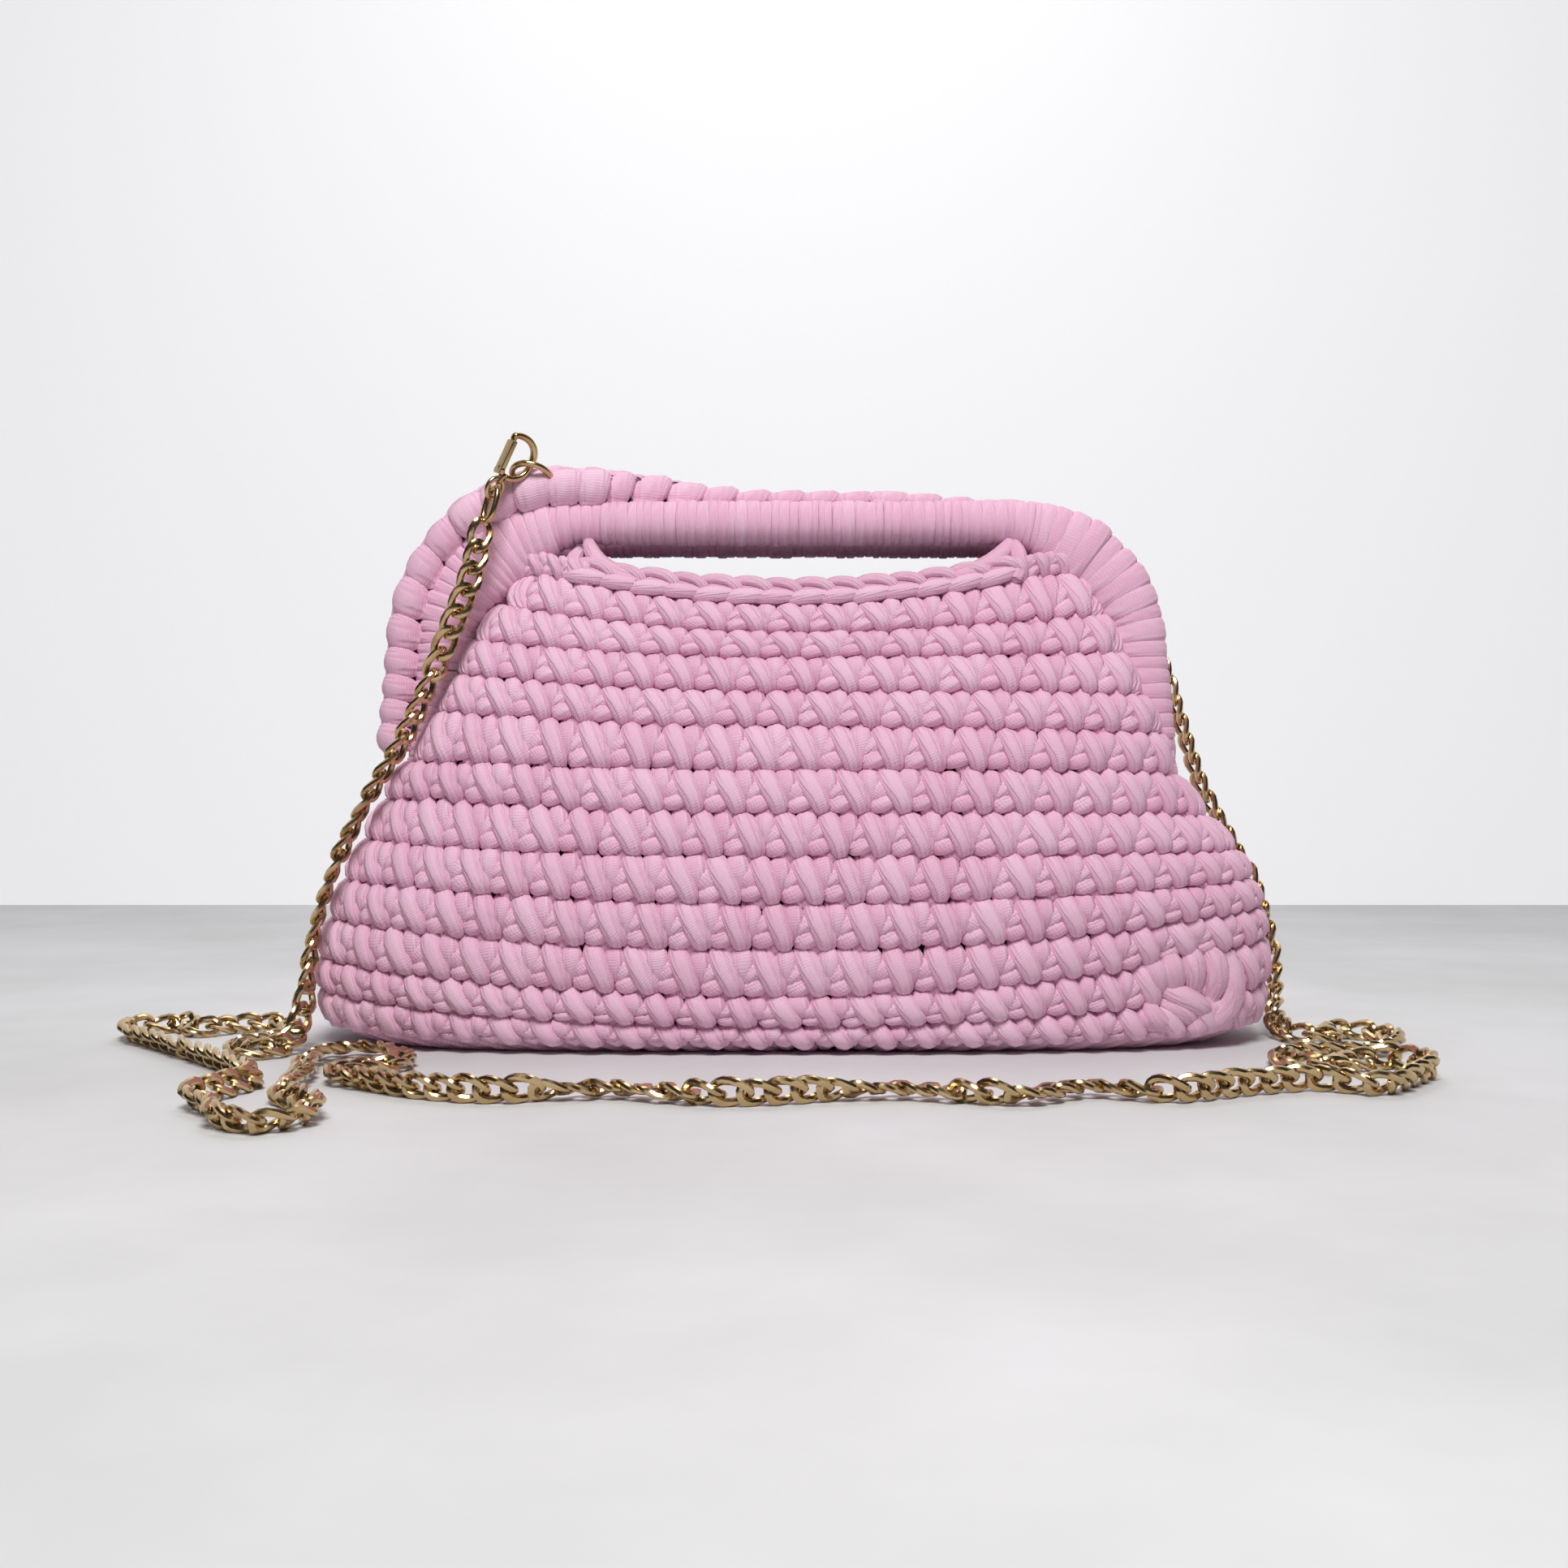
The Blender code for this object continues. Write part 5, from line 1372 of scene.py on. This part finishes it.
# share of the length, degrees about the chain from lying flat with its face up, or facing the front
CHAIN_TWIST = (
    (0.0, 10.0), (0.02, 5.0), (0.04, 65.0), (0.10, 95.0), (0.125, 40.0), (0.15, 10.0), (0.20, 40.0),
    (0.30, 60.0), (0.40, 30.0), (0.485, 10.0), (0.515, 60.0), (0.54, 70.0), (0.55, 8.0), (0.568, 8.0),
    (0.58, 70.0), (0.60, 60.0), (0.608, 8.0), (0.622, 8.0), (0.63, 65.0), (0.64, 8.0), (0.66, 8.0),
    (0.67, 75.0), (0.72, 60.0), (0.745, 70.0), (0.77, 20.0), (0.85, 30.0), (0.90, 90.0), (1.0, 60.0),
)
LINK_PITCH, LINK_WIRE = 7.1, 1.02
LINK_HALF_LENGTH = LINK_PITCH / 2 + 1.35 * LINK_WIRE
LINK_HALF_WIDTH = 2.95
# Both faces are pressed flat at this height over the link's middle
LINK_FLAT = 1.75 * MM
# Room in mm that a link needs over the floor, when it stands on its edge and when it lies flat
LINK_STANDING, LINK_LYING = 4.1, 2.2


def smooth_route(points, count):
    route = np.array(points, float)
    steps = np.linalg.norm(np.diff(route, axis=0), axis=1)
    place = np.concatenate([[0.0], np.cumsum(np.sqrt(steps))])
    curve = smooth_read(place, route, np.linspace(0.0, place[-1], 40 * len(route)))
    length = np.concatenate([[0.0], np.cumsum(np.linalg.norm(np.diff(curve, axis=0), axis=1))])
    even = np.linspace(0.0, length[-1], count)
    return np.stack([np.interp(even, length, curve[:, k]) for k in range(3)], 1), length[-1]


def link_mesh():
    """One twisted oval link, pressed flat on its two faces; it lies along X with Z up."""
    around = 18
    angle = math.tau * (np.arange(around) + 0.5) / around
    power = 2.0 / 2.4
    x = LINK_HALF_LENGTH * np.sign(np.cos(angle)) * np.abs(np.cos(angle)) ** power
    y = LINK_HALF_WIDTH * np.sign(np.sin(angle)) * np.abs(np.sin(angle)) ** power
    twist = np.radians(38.0) * x / LINK_HALF_LENGTH
    path = np.stack([x, y * np.cos(twist), y * np.sin(twist)], 1) * MM
    outward = np.stack([np.zeros(around), -np.sin(twist), np.cos(twist)], 1)
    wide, thick = LINK_WIRE * 1.18 * MM, LINK_WIRE * MM
    points, faces, uvs = sweep(path, outward, wide, thick, 8, closed=True, square=2.0)
    height = np.abs(points[:, 2])
    pressed = np.sign(points[:, 2]) * (LINK_FLAT + (height - LINK_FLAT) * 0.25)
    points[:, 2] = np.where(height > LINK_FLAT, pressed, points[:, 2])
    mesh = mesh_of("link", [(points, faces, uvs)])
    mesh.set_sharp_from_angle(angle=math.radians(40.0))
    return mesh


links = template_collection("link", [link_mesh()])
chain_start = np.array(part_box("clasp_link")[0]) / MM
print("clasp link's lowest corner in mm:", chain_start.round(1))


def chain_piece():
    start, end = (-94.4, -29.2, 163.4), (104.9, 33.5, 157.0)
    route, length = smooth_route([start, *CHAIN_ROUTE, end], 2000)
    count = int(length / LINK_PITCH)
    at = (np.arange(count) + 0.5) / count
    index = at * (len(route) - 1)
    place = np.stack([np.interp(index, np.arange(len(route)), route[:, k]) for k in range(3)], 1)
    ahead = np.stack([np.interp(index + 4, np.arange(len(route)), route[:, k]) for k in range(3)], 1)
    behind = np.stack([np.interp(index - 4, np.arange(len(route)), route[:, k]) for k in range(3)], 1)
    along = ahead - behind
    along /= np.linalg.norm(along, axis=1)[:, None]
    lying = np.clip((30.0 - place[:, 2]) / 24.0, 0, 1)[:, None]
    base = np.array([0.0, 0.0, 1.0]) * lying + np.array([0.0, -1.0, 0.0]) * (1 - lying)
    base = base - along * (base * along).sum(1)[:, None]
    base /= np.linalg.norm(base, axis=1)[:, None]
    aside = np.cross(along, base)
    twist = np.radians(np.interp(at, *zip(*CHAIN_TWIST)))
    jitter = np.random.default_rng(51)
    twist += jitter.normal(0.0, 0.10, count)
    outward = base * np.cos(twist)[:, None] - aside * np.sin(twist)[:, None]
    along = along + aside * jitter.normal(0.0, 0.05, count)[:, None]
    # A link that stands on its edge needs more room above the floor than one that lies flat
    edge = np.abs(np.cross(outward, along)[:, 2])
    place[:, 2] = np.maximum(place[:, 2], np.hypot(LINK_STANDING * edge, LINK_LYING * outward[:, 2]))
    points = {"place": place * MM, "along": along, "outward": outward, "size": (1.0, 1.0, 1.0)}
    spreads = {"Lean": 0.0, "Lean spread": 0.0, "Size spread": 0.0}
    piece = run_tree("chain_links", PLACING, points, links, GOLD, Seed=51, **spreads)
    print(f"chain length {length:.0f} mm, {count} links")
    return piece


chain = chain_piece()

# %% [markdown]
# ## Clasp, rings and end links
# The snap clasp hangs on a small ring in the left corner: a hook of thick wire, a flat gate that
# closes it and turns on a pin, an eye below, and a long first link. The gate is a body of its own in
# the frame, so its piece rides on it. Each piece follows the CAD solid's own places, with the round
# sections and softened edges that a cast part has.

# %% Directions and places of the clasp
GATE_AXIS = np.array([0.416, 0.0, 0.909]) / math.hypot(0.416, 0.909)
PIN_AXIS = np.cross(GATE_AXIS, (0.685, 0.658, -0.313))
PIN_AXIS /= np.linalg.norm(PIN_AXIS)
HOOK_SIDE = np.cross(PIN_AXIS, GATE_AXIS)
PIVOT = np.array([-88.9955, -28.9982, 180.5996])
HOOK_LENGTH, HOOK_WIDTH, HOOK_WIRE = 13.8, 9.2, 1.1
HOOK_LINE = (
    (-0.100, 0.30), (-0.060, 0.54), (0.060, 0.79), (0.230, 0.95), (0.430, 1.00), (0.640, 0.97),
    (0.800, 0.84), (0.900, 0.60), (0.920, 0.34), (0.890, 0.10), (0.830, 0.00), (0.756, 0.00),
)
LEFT_RING = np.array([-80.1, -20.5, 180.0])
REAR_RING = np.array([89.0, 29.0, 167.5])
REAR_AXIS = np.array([0.814, 0.229, -0.534]) / np.linalg.norm([0.814, 0.229, -0.534])
REAR_UP = np.cross((0.0, 1.0, 0.0), REAR_AXIS)
REAR_UP /= np.linalg.norm(REAR_UP)
# Sizes in mm, to the middle of each wire: both rings, then the rear clasp
RING_HALF, RING_WIRE = 6.35, 1.0
REAR_HALF_LENGTH, REAR_WIRE, REAR_PLAY = 7.15, 1.1, 0.3
# The gate's plate, from its foot to its tip along the gate, then how thick and how wide it is
GATE_LOW, GATE_HIGH, GATE_THICK, GATE_WIDE = -1.2, 10.1, 1.5, 4.2
# The heads of its pin: how far each ring of points rises from the plate, and its radius
PIN_HEAD = ((0.0, 0.75), (0.22, 0.75), (0.34, 0.55))


def in_clasp(along, across, over=0.0):
    """Place in mm, from lengths along the gate, across the clasp and along its pin."""
    over = np.broadcast_to(over, np.shape(along))
    return PIVOT + np.outer(along, GATE_AXIS) + np.outer(across, HOOK_SIDE) + np.outer(over, PIN_AXIS)


def wire_ring(centre, first, second, half_first, half_second, wire, squareness=2.0):
    """A closed wire in the plane of two directions; sizes in mm are to the wire's middle."""
    angle = math.tau * np.arange(48) / 48
    power = 2.0 / squareness
    a = half_first * np.sign(np.cos(angle)) * np.abs(np.cos(angle)) ** power
    b = half_second * np.sign(np.sin(angle)) * np.abs(np.sin(angle)) ** power
    path = centre + np.outer(a, first) + np.outer(b, second)
    return sweep(path * MM, np.cross(first, second), wire * MM, wire * MM, 12, closed=True)


def gold_piece(name, strands):
    mesh = mesh_of(name, strands)
    mesh.materials.append(GOLD)
    mesh.set_sharp_from_angle(angle=math.radians(50.0))
    return add_object(name, mesh)


hook_line = finer(np.array(HOOK_LINE) * (HOOK_LENGTH, HOOK_WIDTH), 44)
hook_wire = np.full(44, HOOK_WIRE)
hook_wire[-4:] = HOOK_WIRE * 0.86
hook_path = in_clasp(hook_line[:, 0], hook_line[:, 1]) * MM
eye = in_clasp([-0.42 * HOOK_LENGTH], [0.13 * HOOK_WIDTH])[0]
neck_path = in_clasp([-3.6, -2.6, -1.6, -0.9], [1.25, 1.35, 1.6, 2.4]) * MM
tongue_path = in_clasp([-1.9, -0.9, 0.2, 1.0], [2.6, 1.6, 0.5, -0.5]) * MM
hook = gold_piece(
    "clasp_hook_wire",
    [
        sweep(hook_path, PIN_AXIS, hook_wire * MM, hook_wire * 1.25 * MM, 14),
        sweep(neck_path, PIN_AXIS, 1.1 * MM, 1.2 * MM, 12),
        sweep(tongue_path, PIN_AXIS, 0.95 * MM, 0.66 * MM, 12),
        wire_ring(eye, HOOK_SIDE, GATE_AXIS, 2.6, 3.25, 0.85),
    ],
)


def gate_mesh():
    """The flat gate: a plate with softened edges, and the pin's two heads at its foot."""
    bm = bmesh.new()
    bmesh.ops.create_cube(bm, size=1.0)
    for v in bm.verts:
        along = GATE_LOW + (v.co.x + 0.5) * (GATE_HIGH - GATE_LOW)
        spot = in_clasp([along], [v.co.y * GATE_THICK], [v.co.z * GATE_WIDE])[0]
        v.co = Vector(spot * MM)
    bmesh.ops.bevel(bm, geom=bm.edges, offset=0.28 * MM, segments=3, affect="EDGES", profile=0.6)
    for sign in (-1, 1):
        previous = None
        for rise, radius in PIN_HEAD:
            ring = []
            for k in range(16):
                a = math.tau * k / 16
                aside = sign * GATE_WIDE / 2 + sign * rise
                spot = in_clasp([radius * math.cos(a)], [radius * math.sin(a)], [aside])[0]
                ring.append(bm.verts.new(Vector(spot * MM)))
            if previous:
                for k in range(16):
                    bm.faces.new((previous[k], previous[(k + 1) % 16], ring[(k + 1) % 16], ring[k]))
            else:
                bm.faces.new(ring)
            previous = ring
        bm.faces.new(previous)
    bmesh.ops.recalc_face_normals(bm, faces=bm.faces)
    mesh = bpy.data.meshes.new("clasp_gate_plate")
    bm.to_mesh(mesh)
    bm.free()
    mesh.materials.append(GOLD)
    mesh.shade_smooth()
    mesh.set_sharp_from_angle(angle=math.radians(40.0))
    return mesh


gate = add_object("clasp_gate_plate", gate_mesh())
ring_across = np.array([0.99, 0.0, -0.14]) / math.hypot(0.99, 0.14)
ring_up = np.array([0.0, -0.87, 0.50]) / math.hypot(0.87, 0.50)
left_strand = wire_ring(LEFT_RING, ring_across, ring_up, RING_HALF, RING_HALF, RING_WIRE)
left_ring = gold_piece("left_ring_wire", [left_strand])
rear_strand = wire_ring(REAR_RING, REAR_AXIS, REAR_UP, RING_HALF, RING_HALF, RING_WIRE)
rear_ring = gold_piece("rear_ring_wire", [rear_strand])
link_down = np.array(CHAIN_ROUTE[0]) - eye
link_down /= np.linalg.norm(link_down)
link_side = np.cross(np.cross(PIN_AXIS, link_down), link_down)
link_side /= np.linalg.norm(link_side)
first_strand = wire_ring(eye + link_down * 5.35, link_side, link_down, 2.75, 5.35, 1.05, 3.0)
first_link = gold_piece("clasp_link_wire", [first_strand])
# The rear clasp hangs inside its ring, with a little play between the two wires
rear_middle = REAR_RING + REAR_AXIS * (RING_HALF - RING_WIRE - REAR_WIRE - REAR_PLAY + REAR_HALF_LENGTH)
rear_side = np.cross(REAR_AXIS, REAR_UP)
rear_loop = wire_ring(rear_middle, rear_side, REAR_AXIS, 3.5, REAR_HALF_LENGTH, REAR_WIRE, 2.5)
rear_clasp = gold_piece("rear_clasp_wire", [rear_loop])
print("clasp pieces:", hook.name, gate.name, left_ring.name, rear_ring.name, first_link.name, rear_clasp.name)

# %% [markdown]
# ## Ride and replace
# Every piece moves with a body of the frame, and the CAD nodes that it stands for are hidden. The
# templates and the charted surface have done their work and are removed.

# %% Hand the pieces to the frame
for collection in (stitches, wraps, heads, loops, links):
    for template in list(collection.objects):
        bpy.data.objects.remove(template)
    bpy.data.collections.remove(collection)
for surface in surfaces:
    bpy.data.objects.remove(surface)

yarn_pieces = {
    pouch_pieces[0]: ["pouch"],
    **dict.fromkeys([*pouch_pieces[1:], lining, *panel_linings], ()),
    front_winding: ["front_frame"],
    rear_winding: ["rear_frame"],
    front_heads: ["front_edging"],
    rear_heads: ["rear_edging"],
    front_rim: ["front_braid"],
    rear_rim: ["rear_braid"],
    **dict.fromkeys(rim_end_pieces, ()),
}
gold_pieces = {
    chain: ["chain"],
    hook: ["clasp_hook"],
    gate: ["clasp_gate"],
    left_ring: ["left_ring"],
    rear_ring: ["rear_ring"],
    first_link: ["clasp_link"],
    rear_clasp: ["rear_clasp"],
}
for pieces, slot in ((yarn_pieces, "yarn"), (gold_pieces, "gold")):
    for piece, nodes in pieces.items():
        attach(piece, "gate" if piece == gate else "bag")
        if nodes:
            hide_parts(*nodes)

# %% [markdown]
# ## Floor, backdrop and light
# The bag stands on a pale floor in front of a backdrop paper that is lit from behind. One soft panel
# high above and in front gives the bright tops of the strands. A small one lights the floor behind
# the bag, and a faint pale world keeps the shadows open.


# %% Floor and light
def stage_material(name, light, dark, roughness, scale):
    material = bpy.data.materials.new(name)
    material.use_nodes = True
    tree = material.node_tree
    shader = tree.nodes["Principled BSDF"]
    place = add(tree, "ShaderNodeTexCoord").outputs["Object"]
    looks = {"Vector": place, "Scale": scale, "Detail": 5.0, "Roughness": 0.6}
    cloud = add(tree, "ShaderNodeTexNoise", looks)
    share = add(tree, "ShaderNodeMapRange", {"Value": cloud.outputs[0], "From Min": 0.35, "From Max": 0.65})
    tones = {"Factor": share, 6: linear(dark), 7: linear(light)}
    colour = add(tree, "ShaderNodeMix", tones, data_type="RGBA")
    tree.links.new(colour.outputs[2], shader.inputs["Base Color"])
    shader.inputs["Roughness"].default_value = roughness
    return material


def stage_plane(name, corners, material):
    mesh = bpy.data.meshes.new(name)
    mesh.from_pydata(corners, [], [(0, 1, 2, 3)])
    mesh.materials.append(material)
    plane = add_object(name, mesh)
    return plane


WALL_PLACE = 0.595
# Smooth plaster gives a pale, matt floor with faint clouds and no pattern
floor_material = stage_material("Pale plaster floor", "#DCDCDE", "#CECECF", 0.75, 6.0)
wall_material = stage_material("White backdrop lit from behind", "#B8B8BA", "#B6B6B8", 0.9, 1.0)
# Lit from behind, the paper keeps nearly one brightness over its whole height
wall_shader = wall_material.node_tree.nodes["Principled BSDF"]
wall_shader.inputs["Emission Color"].default_value = linear("#F8F8FA")
wall_shader.inputs["Emission Strength"].default_value = 0.56
floor_corners = [(-3, -2, 0), (3, -2, 0), (3, WALL_PLACE, 0), (-3, WALL_PLACE, 0)]
stage_plane("floor", floor_corners, floor_material)
wall_corners = [(-3, WALL_PLACE, 0), (3, WALL_PLACE, 0), (3, WALL_PLACE, 3), (-3, WALL_PLACE, 3)]
stage_plane("wall", wall_corners, wall_material)


def area_light(name, place, target, size, watts, colour):
    data = bpy.data.lights.new(name, "AREA")
    data.shape = "DISK"
    data.size = size
    data.energy = watts
    data.color = linear(colour)[:3]
    lamp = bpy.data.objects.new(name, data)
    lamp.location = place
    direction = Vector(target) - Vector(place)
    lamp.rotation_euler = direction.to_track_quat("-Z", "Y").to_euler()
    bpy.context.scene.collection.objects.link(lamp)


area_light("key", (-0.02, -0.74, 0.98), (0.0, 0.0, 0.08), 0.50, 11.9, "#FFFEFC")
area_light("rear", (0.0, 0.28, 0.85), (0.0, 0.50, 0.0), 0.5, 1.3, "#FFFFFF")
world = bpy.data.worlds.new("studio")
world.use_nodes = True
world.node_tree.nodes["Background"].inputs["Color"].default_value = linear("#F4F5F8")
world.node_tree.nodes["Background"].inputs["Strength"].default_value = 0.035
bpy.context.scene.world = world
bpy.context.scene.view_settings.view_transform = "Standard"
